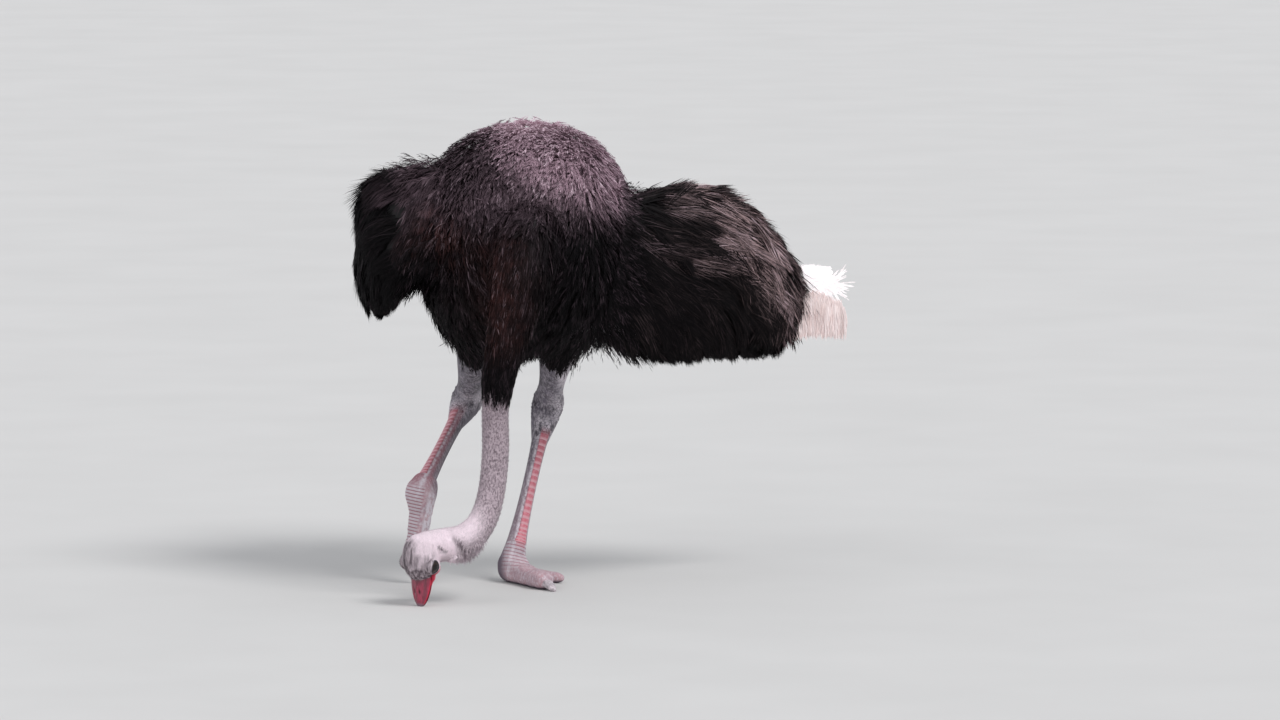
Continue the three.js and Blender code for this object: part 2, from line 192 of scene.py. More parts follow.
def colour(name, description, *levels):
    """A colour property with its default as screen levels."""
    return bpy.props.FloatVectorProperty(
        name=name, description=description, default=srgb(*levels), size=3, min=0, max=1, subtype="COLOR",
    )


class OstrichColours(bpy.types.PropertyGroup):
    black: colour("Black", "Body feathers", 12, 10, 12)
    # mauve and straw: partly the faded feathers' own colour, partly a painted highlight where light falls on
    # top of the hump
    mauve: colour("Mauve", "Worn grey feathers over the back", 150, 124, 136)
    glint: colour("Glint", "Lit barbs of the black feathers", 62, 51, 57)
    straw: colour("Straw", "Palest barbs among the worn feathers", 204, 182, 192)
    brown: colour("Red brown", "Worn patches beside the neck", 76, 46, 44)
    ends: colour("Feather ends", "Sun-bleached ends of the wing feathers", 172, 146, 147)
    white: colour("White", "Flight feathers", 250, 246, 248)
    # buff is partly the hanging barbs' own cream and partly painted shade on the underside of the white
    # plumes
    buff: colour("Buff", "Hanging barbs under the flight feathers", 242, 219, 215)
    tail: colour("Tail", "Tail plumes", 228, 212, 204)
    down: colour("Down", "Grey down of the neck", 200, 183, 191)
    cream: colour("Cream", "Pale down of the cheeks and nape", 242, 227, 234)
    smoke: colour("Smoke", "Dark down of the crown and throat patch", 98, 84, 92)
    shank: colour("Shank", "Bare grey skin of the legs", 112, 106, 118)
    # scale also paints the pale +x side of the thighs and hocks, partly a painted highlight
    scale: colour("Scale", "Pale scales of the hocks", 224, 215, 223)
    scute: colour("Scute", "Red plates down the front of the shanks", 190, 102, 116)
    ring: colour("Ring", "Pale edges of the plates and the ankles", 222, 178, 186)
    toe: colour("Toe", "Skin of the toes", 176, 150, 160)
    pad: colour("Pad", "Soles and heel", 98, 84, 98)
    lid: colour("Eyelids", "Bare skin of the eyelids", 104, 96, 104)
    claw: colour("Claw", "Nail of the big toe", 212, 200, 206)
    bill: colour("Bill", "Upper half of the bill", 172, 66, 90)
    mandible: colour("Lower bill", "Lower half of the bill", 206, 140, 152)
    gape: colour("Gape", "Edge of the mouth", 196, 36, 66)
    nail: colour("Bill tip", "Horn at the tip of the bill", 132, 108, 120)
    iris: colour("Iris", "Ring round the pupil", 46, 26, 16)


# ---------- curves, shells and frames ----------


def unit(vectors):
    vectors = np.asarray(vectors, float)
    return vectors / np.maximum(np.linalg.norm(vectors, axis=-1, keepdims=True), 1e-9)


def dot(a, b):
    return (a * b).sum(-1, keepdims=True)


def ramp(low, high, value):
    """0 below `low`, 1 above `high`, and smooth between them."""
    share = np.clip((value - low) / (high - low), 0, 1)
    return share * share * (3 - 2 * share)


def mix(a, b, share):
    return tuple(np.asarray(a, float) + (np.asarray(b, float) - np.asarray(a, float)) * share)


def metres(points):
    """Layout millimetres to metres in the frame of the solids."""
    return (np.asarray(points, float) + OFFSET) / 1000


def layout(points):
    """Metres in the frame of the solids to layout millimetres."""
    return np.asarray(points, float) * 1000 - OFFSET


def curve(points, along):
    """Smooth curve through `points`, read at shares of its length in stations."""
    points = np.asarray(points, float)
    last = len(points) - 1
    place = np.clip(along, 0, 1) * last
    cell = np.minimum(place.astype(int), last - 1)
    t = (place - cell)[:, None]
    ends = np.vstack([2 * points[0] - points[1], points, 2 * points[-1] - points[-2]])
    a, b, c, d = (ends[cell + shift] for shift in range(4))
    return 0.5 * (2 * b + (c - a) * t + (2 * a - 5 * b + 4 * c - d) * t**2 + (3 * b - a - 3 * c + d) * t**3)


def curve_rows(rows, count):
    """Each row of points as a smooth curve of `count` points."""
    return np.array([curve(row, np.linspace(0, 1, count)) for row in rows])


def rings(stations, across, steps, sides, power=2.0, far_power=None, pinch=0.0, grow=0.0):
    """Rings of points, (steps + 1, sides, 3), round stations (x, y, z, half width, half depth)."""
    stations = np.asarray(stations, float)
    along = np.linspace(0, 1, steps + 1)
    middle = curve(stations[:, :3], along)
    tangent = unit(np.gradient(curve(stations[:, :3], along), axis=0))
    size = np.maximum(curve(stations[:, 3:], along) + grow, 3)
    side = unit(across - dot(tangent, np.asarray(across, float)) * tangent)
    up = np.cross(tangent, side)
    angle = np.arange(sides) / sides * 2 * math.pi
    c, s = np.cos(angle), np.sin(angle)
    bend = np.where(s < 0, far_power or power, power)
    wide = size[:, :1] * np.sign(c) * np.abs(c) ** (2 / bend) * (1 - pinch * np.maximum(0, -s))
    deep = size[:, 1:] * np.sign(s) * np.abs(s) ** (2 / bend)
    return middle[:, None] + wide[..., None] * side[:, None] + deep[..., None] * up[:, None]


def shell(grid):
    """Closed surface through rings of points: (points, faces)."""
    steps, sides = grid.shape[:2]
    points = np.vstack([grid.reshape(-1, 3), grid[0].mean(0), grid[-1].mean(0)])
    first, last, end = steps * sides, steps * sides + 1, (steps - 1) * sides
    faces = []
    for side in range(sides):
        after = (side + 1) % sides
        faces.append((first, after, side))
        faces.append((last, end + side, end + after))
        for row in range(0, end, sides):
            faces.append((row + side, row + after, row + sides + after, row + sides + side))
    return points, faces


def from_trunk(x, y, z, *sizes):
    """A point of the trunk's own frame (x left, y from breast to rump), in the layout."""
    turn = math.radians(-TRUNK_YAW)
    back = y - TRUNK_LENGTH / 2
    across, along = math.cos(turn), math.sin(turn)
    return (
        TRUNK_MIDDLE[0] + x * across - back * along,
        TRUNK_MIDDLE[1] + x * along + back * across,
        z,
        *sizes,
    )


TAILWARD = unit(np.array(from_trunk(0, 1, 0)) - np.array(from_trunk(0, 0, 0)))


def from_head(place):
    """Distance of each point from the middle of the head."""
    return np.linalg.norm(place - HEAD_MIDDLE, axis=1)


class Basis:
    """A part's own frame: x forward, y to the bird's left, z up, in the layout's millimetres."""

    def __init__(self, origin, forward, up):
        self.origin = np.asarray(origin, float)
        ahead = unit(forward)
        over = unit(np.asarray(up, float) - dot(ahead, np.asarray(up, float)) * ahead)
        self.axes = np.array([ahead, np.cross(over, ahead), over])

    def outward(self, points):
        return np.asarray(points, float) @ self.axes + self.origin

    def inward(self, points):
        return (np.asarray(points, float) - self.origin) @ self.axes.T


CROWN_WAY = (-math.cos(math.radians(HEAD_TURN)), -math.sin(math.radians(HEAD_TURN)), 0)
HEAD = Basis(HEAD_MIDDLE, np.subtract(BILL_TIP, HEAD_MIDDLE), CROWN_WAY)
FOOT = {side: Basis(foot["origin"], foot["forward"], foot["up"]) for side, foot in FEET.items()}


# ---------- shells of the skin, in the layout ----------


def trunk_shell(grow, steps=46, sides=54):
    wide, deep = TRUNK_WIDTH / 2, TRUNK_DEPTH / 2
    stations = [
        from_trunk(0, share * TRUNK_LENGTH, BACK_HEIGHT - deep + rise, width * wide, depth * deep)
        for share, rise, width, depth in TRUNK_SHAPE
    ]
    return rings(stations, (-1, 0, 0), steps, sides, power=2.15, far_power=3.2, grow=grow)


def rump_shell():
    sizes = ((690, 1130, 90, 90), (800, 1165, 92, 60), (880, 1180, 70, 34), (930, 1182, 30, 14))
    return rings([from_trunk(0, *size) for size in sizes], (-1, 0, 0), 10, 18)


def left_arm(steps=26, sides=24):
    return rings(LEFT_ARM, (0.6, -0.8, 0), steps, sides, power=2.5)


def right_arm(steps=22, sides=22):
    return rings(RIGHT_ARM, (-1, -0.3, 0), steps, sides, power=2.5)


def neck_shell(steps=120, sides=40):
    return rings(NECK, (-1, 0.3, 0), steps, sides)


# x to the bill, height of the middle, shares of the head's width and depth
SKULL_SHAPE = (
    (-61, 4, 0.2, 0.25), (-52, 4, 0.54, 0.6), (-33, 3, 0.82, 0.9), (-5, 2, 0.97, 1),
    (20, 0, 0.98, 0.98), (40, -4, 0.86, 0.87), (57, -8, 0.71, 0.69), (70, -10, 0.56, 0.49),
    (80, -7, 0.4, 0.34), (89, -4, 0.27, 0.23), (95, -4, 0.15, 0.12),
)


def skull_shell(steps=44, sides=48):
    stations = [
        (x, 0, rise, width * HEAD_WIDTH / 2, depth * HEAD_DEPTH / 2) for x, rise, width, depth in SKULL_SHAPE
    ]
    return HEAD.outward(rings(stations, (0, -1, 0), steps, sides, power=2.2, far_power=2, pinch=0.18))


def thigh_shell(leg):
    knee, hock = leg["knee"], leg["hock"]
    sizes = (
        (-0.16, 40, 60), (0, 66, 100), (0.28, 64, 98), (0.55, 54, 74),
        (0.78, 40, 48), (0.92, 38, 42), (1, 38, 42),
    )
    return rings([(*mix(knee, hock, share), *size) for share, *size in sizes], (1, 0, 0), 26, 24)


def hock_shells(leg):
    joint = leg["hock"]
    middle = (joint[0], joint[1] + 14, joint[2])
    halves = []
    for end, wide, deep in (
        (mix(joint, leg["knee"], 0.18), 38, 42),
        (mix(joint, leg["ankle"], 0.24), TARSUS_RADIUS + 3, TARSUS_RADIUS + 8),
    ):
        stations = [
            (*end, wide, deep),
            (*mix(end, middle, 0.5), HOCK_RADIUS - 8, HOCK_RADIUS - 4),
            (*middle, HOCK_RADIUS, HOCK_RADIUS + 4),
            (*mix(end, middle, 1.3), HOCK_RADIUS - 10, HOCK_RADIUS - 8),
            (*mix(end, middle, 1.42), 14, 14),
        ]
        halves.append(rings(stations, (1, 0, 0), 18, 24))
    return halves


def shank_stations(leg):
    more = ((0.1, 10, 15), (0.3, 0, 7), (0.6, -1, 6), (0.85, 5, 8), (1, 15, 14))
    return [
        (*mix(leg["hock"], leg["ankle"], share), TARSUS_RADIUS + wide, TARSUS_RADIUS + deep)
        for share, wide, deep in more
    ]


def shank_shell(leg):
    return rings(shank_stations(leg), (1, 0, 0), 40, 28)


def foot_shells(side):
    """Ball of the foot, big toe and outer toe."""
    foot, basis = FEET[side], FOOT[side]
    ball = [
        (-58, 0, 36, 12, 14), (-48, 0, 38, 27, 32), (-24, 0, 41, 37, 43),
        (2, 0, 46, 40, 50), (30, 0, 40, 36, 42), (54, 0, 35, 32, 35),
    ]
    r, reach = BIG_TOE_RADIUS, BIG_TOE_LENGTH
    big = [
        (20, 0, r + 3, r, r + 4), (reach * 0.36, 0, r - 1, r, r), (reach * 0.56, 0, r - 5, r - 2, r - 4),
        (reach * 0.75, 0, r - 5, r, r - 4), (reach * 0.9, 0, r - 7, r - 2, r - 6),
        (reach * 0.98, 0, r - 11, r - 12, r - 14), (reach, 0, r - 12, 8, 7),
    ]
    small_r = SMALL_TOE_RADIUS
    turn = math.radians(foot["splay"])
    small = [
        (-4 + out * math.cos(turn), foot["lateral"] * (20 + out * math.sin(turn)), rise, wide, deep)
        for out, rise, wide, deep in (
            (0, small_r + 6, small_r, small_r + 5), (46, small_r + 1, small_r, small_r + 1),
            (90, small_r - 3, small_r - 2, small_r - 3), (124, small_r - 5, small_r - 4, small_r - 5),
            (144, small_r - 7, small_r - 13, small_r - 13),
        )
    ]
    aside = (math.sin(turn), -math.cos(turn) * foot["lateral"], 0)
    return [
        basis.outward(rings(stations, across, 24, 24, power=2.2, far_power=3))
        for stations, across in ((ball, (0, -1, 0)), (big, (0, -1, 0)), (small, aside))
    ]


# ---------- meshes ----------


def new_object(name, data):
    """An object in the scene."""
    obj = bpy.data.objects.new(name, data)
    bpy.context.scene.collection.objects.link(obj)
    return obj


def mesh_object(name, points, faces):
    mesh = bpy.data.meshes.new(name)
    mesh.from_pydata(np.asarray(points).tolist(), [], faces)
    mesh.update()
    return new_object(name, mesh)


def shade_smooth(mesh):
    mesh.polygons.foreach_set("use_smooth", np.ones(len(mesh.polygons), bool))


def points_of(mesh):
    flat = np.empty(len(mesh.vertices) * 3, np.float32)
    mesh.vertices.foreach_get("co", flat)
    return flat.reshape(-1, 3).astype(float)


def set_points(mesh, points):
    mesh.vertices.foreach_set("co", np.asarray(points, np.float32).ravel())
    mesh.update()


def on_floor(mesh, points):
    """Sets the points, with none of them below the floor."""
    points[:, 2] = np.maximum(points[:, 2], 0)
    set_points(mesh, points)
    return points


def normals_of(mesh):
    flat = np.empty(len(mesh.vertices) * 3, np.float32)
    mesh.vertex_normals.foreach_get("vector", flat)
    return flat.reshape(-1, 3).astype(float)


def apply_modifiers(obj):
    bpy.context.view_layer.update()
    shaped = obj.evaluated_get(bpy.context.evaluated_depsgraph_get())
    mesh = bpy.data.meshes.new_from_object(shaped)
    old = obj.data
    obj.modifiers.clear()
    obj.data = mesh
    mesh.name = obj.name
    bpy.data.meshes.remove(old)


def fused(name, grids, voxel, smooth):
    """One closed mesh, in metres, from shells that run into each other."""
    points, faces = [], []
    for grid in grids:
        more, sides = shell(grid)
        start = sum(len(part) for part in points)
        points.append(metres(more))
        faces += [tuple(start + corner for corner in face) for face in sides]
    obj = mesh_object(name, np.vstack(points), faces)
    remesh = obj.modifiers.new("fuse", "REMESH")
    remesh.mode = "VOXEL"
    remesh.voxel_size = voxel
    relax = obj.modifiers.new("relax", "SMOOTH")
    relax.factor = 0.5
    relax.iterations = smooth
    apply_modifiers(obj)
    return obj


def united(obj, others):
    """Joins closed meshes into one closed mesh."""
    for other in others:
        union = obj.modifiers.new("join", "BOOLEAN")
        union.operation = "UNION"
        union.solver = "MANIFOLD"
        union.object = other
        apply_modifiers(obj)
        bpy.data.objects.remove(other)
    return obj


def set_values(mesh, name, values):
    """One number for each vertex, for the materials to read."""
    layer = mesh.attributes.new(name, "FLOAT", "POINT")
    layer.data.foreach_set("value", np.asarray(values, np.float32))


def finish_piece(obj, slot, *nodes):
    """Seats a piece in the frame under its body and hides the solids it stands for. The slot is not used."""
    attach(obj, "root")
    if nodes:
        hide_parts(*nodes)


# ---------- markings, the same for skin and coat ----------


def bell(distance, width):
    """1 at no distance, fading over a width."""
    return np.exp(-((distance / width) ** 2))


def markings(place):
    """Masks, 0 to about 1, at points of the layout: mauve, red brown, neck, cream and smoke. The mauve is
    partly faded feathers and partly a painted highlight on top of the hump.
    """
    x, y, z = place.T
    crest = np.interp(x, (-60, 60, 180, 300), (1390, 1290, 1225, 1190))
    mauve = 0.2 * ramp(1090, 1230, z) * ramp(-310, -210, x) + 0.8 * ramp(crest - 60, crest + 50, z)
    # painted highlight: above z 1330 the mask passes 1, where the plumage paints its palest strands and a
    # glow
    mauve = (mauve + 0.6 * ramp(1330, 1400, z) * ramp(-110, 40, x)) * ramp(380, 300, x) * ramp(880, 560, y)
    cone = bell(x - 5, 80) * ramp(760, 960, z) * ramp(1170, 1040, z)
    patch = np.exp(-(((x + 147) / 62) ** 2) - ((z - 1129) / 52) ** 2)
    brown = np.clip(cone * 0.8 + patch, 0, 1) * ramp(420, 340, y)
    neck = ramp(200, 150, y) * ramp(650, 590, z)
    head = HEAD.inward(place)
    side, crown = np.abs(head[:, 1]), head[:, 2]
    near = ramp(120, 100, from_head(place))
    upper = ramp(-0.6, 0.5, unit(place - np.array((-150, 30, 180)))[:, 2])
    cream = np.maximum(near, ramp(330, 240, z) * ramp(-60, -125, x - 40 * upper) * (0.4 + 0.4 * upper))
    top = ramp(-0.05, 0.3, crown / np.maximum(np.hypot(side, crown), 1))
    pale_spot = ramp(20, 30, side) * ramp(12, -6, head[:, 0])
    crown_line = 0.72 + 0.5 * bell(side - 4, 13)
    cap = near * top * ramp(-50, -28, head[:, 0]) * crown_line * (1 - 0.8 * pale_spot)
    on_ear, off_ear = (x + 176) * 0.82 - (z - 176) * 0.57, (x + 176) * 0.57 + (z - 176) * 0.82
    ear = bell(off_ear, 3.6) * ramp(-3, 3, on_ear) * ramp(34, 27, on_ear)
    off_line = (x + 121) * 0.84 + (z - 190) * 0.54
    throat = bell(off_line, 8) * ramp(206, 190, z) * ramp(138, 150, z) * ramp(40, 10, y)
    under = 0.45 * np.exp(-((((x + 84) / 40) ** 2 + ((z - 162) / 32) ** 2) ** 2)) * (x > -125)
    throat = np.maximum(throat, under)
    around = np.zeros(len(place))
    for sign in (1, -1):
        past, over, _, _, far = past_lids(head, sign)
        ring = bell(past - 20, 12) * ramp(50, 38, far) * (0.5 + 0.5 * over)
        around = np.maximum(around, ring)
    face = np.maximum(around, ramp(40, 52, head[:, 0]) * near)
    smoke = np.clip(cap + ear * ramp(20, -5, y) + throat + 0.3 * ramp(430, 600, z) + face, 0, 1)
    return {"mauve": mauve, "brown": brown, "neck": neck, "cream": cream * neck, "smoke": smoke * neck}


def shank_place(place, side):
    """Share of the way from hock to ankle, half turns round from the front, distance from the middle."""
    joint, ankle = np.array(LEGS[side]["hock"], float), np.array(LEGS[side]["ankle"], float)
    axis = ankle - joint
    share = ((place - joint) @ axis) / (axis @ axis)
    out = place - joint - share[:, None] * axis
    front = np.array(SHANK_FRONT[side], float)
    front = unit(front - (front @ unit(axis)) * unit(axis))
    turn = np.arccos(np.clip((unit(out) @ front), -1, 1)) / math.pi
    return share, turn, np.linalg.norm(out, axis=1)


LEG_VALUES = ("leg", "scales", "blush", "red", "pale", "rear", "rings", "toes", "pads", "ring_place")


def leg_markings(place):
    """Masks of the bare legs, and the number of the ring of scales that each point lies on."""
    masks = {name: np.zeros(len(place)) for name in LEG_VALUES}

    def put(name, value):
        masks[name] = np.maximum(masks[name], value)

    for side in LEGS:
        share, turn, out = shank_place(place, side)
        own = place[:, 0] > -40 if side == "left" else place[:, 0] <= -40
        leg = own * (place[:, 1] > 250) * ramp(820, 760, place[:, 2])
        shank = leg * ramp(75, 60, out) * ramp(-0.05, 0.1, share)
        ahead, across, up = FOOT[side].inward(place).T
        joint = place - LEGS[side]["hock"]
        # outer is the +x side of both legs, towards the key light: the pale scales and flakes there are
        # partly real, partly a painted highlight
        outer = joint[:, 0] / 40
        put("leg", leg)
        put("scales", leg * ramp(120, 60, np.linalg.norm(joint, axis=1)) * ramp(-0.3, 0.9, outer))
        put("scales", shank * ramp(0.05, 0.16, share) * ramp(0.3, 0.2, share) * ramp(0.5, 0.3, turn))
        flaking_and_highlight = ramp(0.45, 1.0, outer - 0.35 * ramp(0, -0.5, share)) * (0.95 if side == "left" else 0.6)
        put("pale", leg * ramp(-0.02, -0.12, share) * flaking_and_highlight)
        put("blush", shank * ramp(0.15, 0.75, share))
        put("red", shank * ramp(0.2, 0.14, turn) * ramp(0.15, 0.24, share) * ramp(0.96, 0.9, share))
        if side == "right":
            put("red", shank * ramp(0.46, 0.28, turn) * ramp(0.1, 0.3, share) * 0.5)
        put("pale", shank * bell(turn - 0.22, 0.05) * ramp(0.2, 0.35, share) * 0.7)
        put("rear", shank * ramp(0.55, 0.68, turn) * ramp(1.0, 0.92, share))
        on_foot = leg * ramp(0.93, 1.03, share) * (np.abs(across) < 200)
        put("toes", on_foot * ramp(-20, 30, ahead))
        if side == "left":
            front = leg * ramp(90, 70, out) * ramp(0.6, 0.4, turn)
            rings = front * ramp(0.88, 0.93, share) * ramp(1.14, 1.02, share) * 0.5
            ring = share * 44
            put("pads", on_foot * np.maximum(ramp(12, 4, up), ramp(34, -16, ahead) * 0.95))
        else:
            aside = across - up + 36
            rings = on_foot * ramp(8, -8, aside) * ramp(-30, -6, ahead) * ramp(190, 150, ahead) * 0.75
            ring = ahead / 10
            put("toes", on_foot)
            put("pale", on_foot * ramp(14, 26, aside) * ramp(-20, 0, ahead) * 0.8)
        put("rings", rings)
        masks["ring_place"] = np.where(leg > 0, ring, masks["ring_place"])
    return masks


def eye_frame(sign):
    """Middle of an eye, the way it looks, and the ways to the bill and to the crown round it."""
    centre, axis = np.array(EYE_PLACE, float), np.array(EYE_AXIS, float)
    centre[1] *= sign
    axis[1] *= sign
    axis = unit(axis)
    ahead, above = (unit(np.eye(3)[row] - axis[row] * axis) for row in (0, 2))
    return centre, axis, ahead, above


def past_lids(head, sign):
    """Degrees past the edge of the lids round an eye, share above it, its middle, way and distance."""
    centre, axis, ahead, above = eye_frame(sign)
    out = head - centre
    far = np.maximum(np.linalg.norm(out, axis=1), 1e-6)
    way = out / far[:, None]
    angle = np.degrees(np.arccos(np.clip(way @ axis, -1, 1)))
    across, over = way @ ahead, way @ above
    flat = np.maximum(np.hypot(across, over), 1e-6)
    corner, upper, lower = EYE_OPENING
    edge = 1 / np.sqrt((across / flat / corner) ** 2 + (over / flat / np.where(over > 0, upper, lower)) ** 2)
    return angle - edge, over / flat, centre, way, far


# ---------- nodes ----------


class Nodes:
    """Short hand for a node tree."""

    def __init__(self, tree):
        self.tree = tree

    def add(self, kind, inputs=None, **settings):
        node = self.tree.nodes.new(kind)
        for name, value in settings.items():
            setattr(node, name, value)
        for socket, value in (inputs or {}).items():
            self.put(node.inputs[socket], value)
        return node

    def put(self, socket, value):
        if isinstance(value, bpy.types.NodeSocket):
            self.tree.links.new(value, socket)
        elif socket.type == "RGBA":
            socket.default_value = (*value, 1)
        else:
            socket.default_value = value

    def feed(self, name, value):
        """Gives the shader a value or a link."""
        self.put(self.tree.nodes["Principled BSDF"].inputs[name], value)

    def value(self, name):
        """A number stored on the mesh."""
        return self.add("ShaderNodeAttribute", attribute_name=name).outputs["Fac"]

    def math(self, operation, a, b=0.0, clamp=False):
        return self.add("ShaderNodeMath", {0: a, 1: b}, operation=operation, use_clamp=clamp).outputs[0]

    def times(self, a, b, clamp=False):
        return self.math("MULTIPLY", a, b, clamp)

    def plus(self, a, b):
        return self.math("ADD", a, b)

    def most(self, a, b):
        return self.math("MAXIMUM", a, b)

    def blend(self, factor, a, b, kind="MIX"):
        inputs = {"Factor": factor, 6: a, 7: b}
        return self.add("ShaderNodeMix", inputs, data_type="RGBA", blend_type=kind).outputs[2]

    def layers(self, paint, **masked):
        """Colours laid over the paint one after another, each where its value on the mesh is 1."""
        for name, colour in masked.items():
            paint = self.blend(self.value(name), paint, colour)
        return paint

    def span(self, value, low, high, to_low=0.0, to_high=1.0):
        """The value read from one range to another, and held at the ends."""
        inputs = {"Value": value, "From Min": low, "From Max": high, "To Min": to_low, "To Max": to_high}
        return self.add("ShaderNodeMapRange", inputs, clamp=True).outputs["Result"]

    def place(self):
        return self.add("ShaderNodeTexCoord").outputs["Object"]

    def stretch(self, vector, scale):
        return self.add("ShaderNodeMapping", {"Vector": vector, "Scale": scale}).outputs["Vector"]

    def noise(self, vector, scale, detail=3.0, rough=0.55):
        inputs = {"Vector": vector, "Scale": scale, "Detail": detail, "Roughness": rough}
        return self.add("ShaderNodeTexNoise", inputs).outputs["Fac"]

    def grey(self, level):
        """A level as a colour."""
        return self.add("ShaderNodeCombineColor", {0: level, 1: level, 2: level}).outputs[0]

    def cells(self, vector, scale):
        """Distance from the edges of cells."""
        inputs = {"Vector": vector, "Scale": scale}
        return self.add("ShaderNodeTexVoronoi", inputs, feature="DISTANCE_TO_EDGE").outputs["Distance"]

    def bump(self, height, strength, distance):
        inputs = {"Height": height, "Strength": strength, "Distance": distance}
        return self.add("ShaderNodeBump", inputs).outputs["Normal"]


FLOAT, COLOUR = "NodeSocketFloat", "NodeSocketColor"


def new_group(name, inputs, outputs):
    """A node group with nothing but sockets: its tree, its nodes, what it takes and what it gives."""
    tree = bpy.data.node_groups.new(name, "ShaderNodeTree")
    for label, default in inputs.items():
        number = isinstance(default, float)
        socket = tree.interface.new_socket(label, in_out="INPUT", socket_type=FLOAT if number else COLOUR)
        socket.default_value = default if number else (*default, 1)
    for label, kind in outputs.items():
        tree.interface.new_socket(label, in_out="OUTPUT", socket_type=kind)
    nodes = Nodes(tree)
    return tree, nodes, nodes.add("NodeGroupInput").outputs, nodes.add("NodeGroupOutput").inputs


def plumage_group(colours):
    """Colour of the body feathers and of the skin between them, from the markings stored on the mesh."""
    name = "Plumage colour"
    if name in bpy.data.node_groups:
        return bpy.data.node_groups[name]
    tree, n, taken, given = new_group(
        name,
        {
            "Black": colours.black, "Mauve": colours.mauve, "Brown": colours.brown, "Ends": colours.ends,
            "Glint": colours.glint, "Straw": colours.straw, "Streaks": 1.0,
        },
        {"Color": COLOUR, "Roughness": FLOAT},
    )
    tone, along = n.value("tone"), n.value("along")
    cloud = n.span(n.noise(n.place(), 7, 4), 0.36, 0.64)
    fine = n.span(n.noise(n.place(), 34, 3), 0.34, 0.62)
    patchy = n.plus(n.times(cloud, 0.3), n.times(fine, 0.3))
    # the mauve cover: partly faded feathers, partly a painted highlight on top of the hump
    faded_and_top_lit = n.times(n.value("mauve"), n.plus(patchy, 0.65))
    dim = n.span(tone, 0.12, 0.6, 0.25, 1)
    mauve = n.times(faded_and_top_lit, n.span(tone, 0.1, 0.5, 0.4, 1.15), clamp=True)
    brown = n.times(n.value("brown"), n.times(dim, n.span(fine, 0, 1, 0.35, 1)), clamp=True)
    ends = n.times(n.value("ends"), n.span(along, 0.1, 0.8))
    streaked = n.times(n.span(tone, 0.42, 0.68, 0.04, 1.35), n.span(fine, 0, 1, 0.7, 1))
    ends = n.times(ends, streaked, clamp=True)
    glint = n.times(n.span(tone, 0.58, 0.84), n.span(cloud, 0, 1, 0.7, 1))
    paint = n.blend(glint, taken["Black"], taken["Glint"])
    paint = n.blend(brown, paint, taken["Brown"])
    paint = n.blend(mauve, paint, taken["Mauve"])
    paint = n.blend(ends, paint, taken["Ends"])
    marked = n.most(n.value("mauve"), n.times(n.value("brown"), 0.4))
    pale = n.times(n.span(tone, 0.7, 0.82), n.most(marked, n.times(n.value("ends"), 0.9)))
    # painted highlight: where the mauve mask passes 1, on top of the hump, the strands turn straw
    crest = n.times(n.span(n.value("mauve"), 1, 1.6), n.span(tone, 0.2, 0.6, 0.25, 1))
    pale = n.most(pale, crest)
    pale = n.times(pale, n.times(taken["Streaks"], 0.85), clamp=True)
    paint = n.blend(pale, paint, taken["Straw"])
    # painted shade: barbs darken towards their roots, except on the mauve feathers on top
    depth = n.most(n.span(along, 0, 0.6, 0.25, 1), n.times(n.value("mauve"), 0.9))
    paint = n.blend(1, paint, n.grey(depth), "MULTIPLY")
    n.put(given["Color"], paint)
    n.put(given["Roughness"], n.span(tone, 0, 1, 0.62, 0.42))
    return tree


def down_group(colours):
    """Colour of the neck and head, for the down and the skin under it."""
    name = "Down colour"
    if name in bpy.data.node_groups:
        return bpy.data.node_groups[name]
    tree, n, taken, given = new_group(
        name,
        {"Down": colours.down, "Cream": colours.cream, "Smoke": colours.smoke, "Speckle": 0.5},
        {"Color": COLOUR},
    )
    speck = n.span(n.noise(n.stretch(n.place(), (1, 1, 0.6)), 210, 3), 0.46, 0.58)
    base = n.blend(n.times(speck, taken["Speckle"]), taken["Down"], taken["Smoke"])
    base = n.blend(n.value("cream"), base, taken["Cream"])
    streak = n.noise(n.stretch(n.place(), (1, 1, 0.16)), 120, 2)
    smoke = n.times(n.value("smoke"), n.span(streak, 0.35, 0.6, 0.35, 1), clamp=True)
    base = n.blend(smoke, base, taken["Smoke"])
    n.put(given["Color"], base)
    return tree


def scaly_group():
    """Small scales: a height for a bump, and a mask of the scales' middles."""
    name = "Small scales"
    if name in bpy.data.node_groups:
        return bpy.data.node_groups[name]
    tree, n, taken, given = new_group(name, {"Scale": 120.0}, {"Height": FLOAT, "Middle": FLOAT})
    wobble = n.noise(n.place(), 40, 2)
    place = n.add("ShaderNodeVectorMath", {0: n.place(), 1: (0, 0, 0)}, operation="ADD")
    shift = n.add("ShaderNodeCombineXYZ", {0: n.times(wobble, 0.01)})
    n.put(place.inputs[1], shift.outputs[0])
    edge = n.cells(place.outputs[0], taken["Scale"])
    n.put(given["Height"], n.span(edge, 0, 0.22))
    n.put(given["Middle"], n.span(edge, 0.02, 0.12))
    return tree


def new_material(name, roughness, specular):
    """A material and the nodes of its tree."""
    material = bpy.data.materials.new(name)
    material.use_nodes = True
    n = Nodes(material.node_tree)
    n.feed("Roughness", roughness)
    n.feed("Specular IOR Level", specular)
    return material, n


def use_group(n, tree, **values):
    return n.add("ShaderNodeGroup", values, node_tree=tree)


PLUMAGE_GLOW = 0.12  # painted glow: emission that lightens the mauve feathers on top of the hump


def plumage_material(name, colours, streaks=1.0):
    material, n = new_material(name, 0.5, 0.06)
    tint = use_group(n, plumage_group(colours), Streaks=streaks)
    n.feed("Base Color", tint.outputs["Color"])
    n.feed("Roughness", tint.outputs["Roughness"])
    # painted glow: the mauve feathers on top give off light of their own colour
    glow = n.blend(n.span(n.value("mauve"), 0.7, 1.3), (0, 0, 0), tint.outputs["Color"])
    n.feed("Emission Color", glow)
    n.feed("Emission Strength", PLUMAGE_GLOW)
    return material


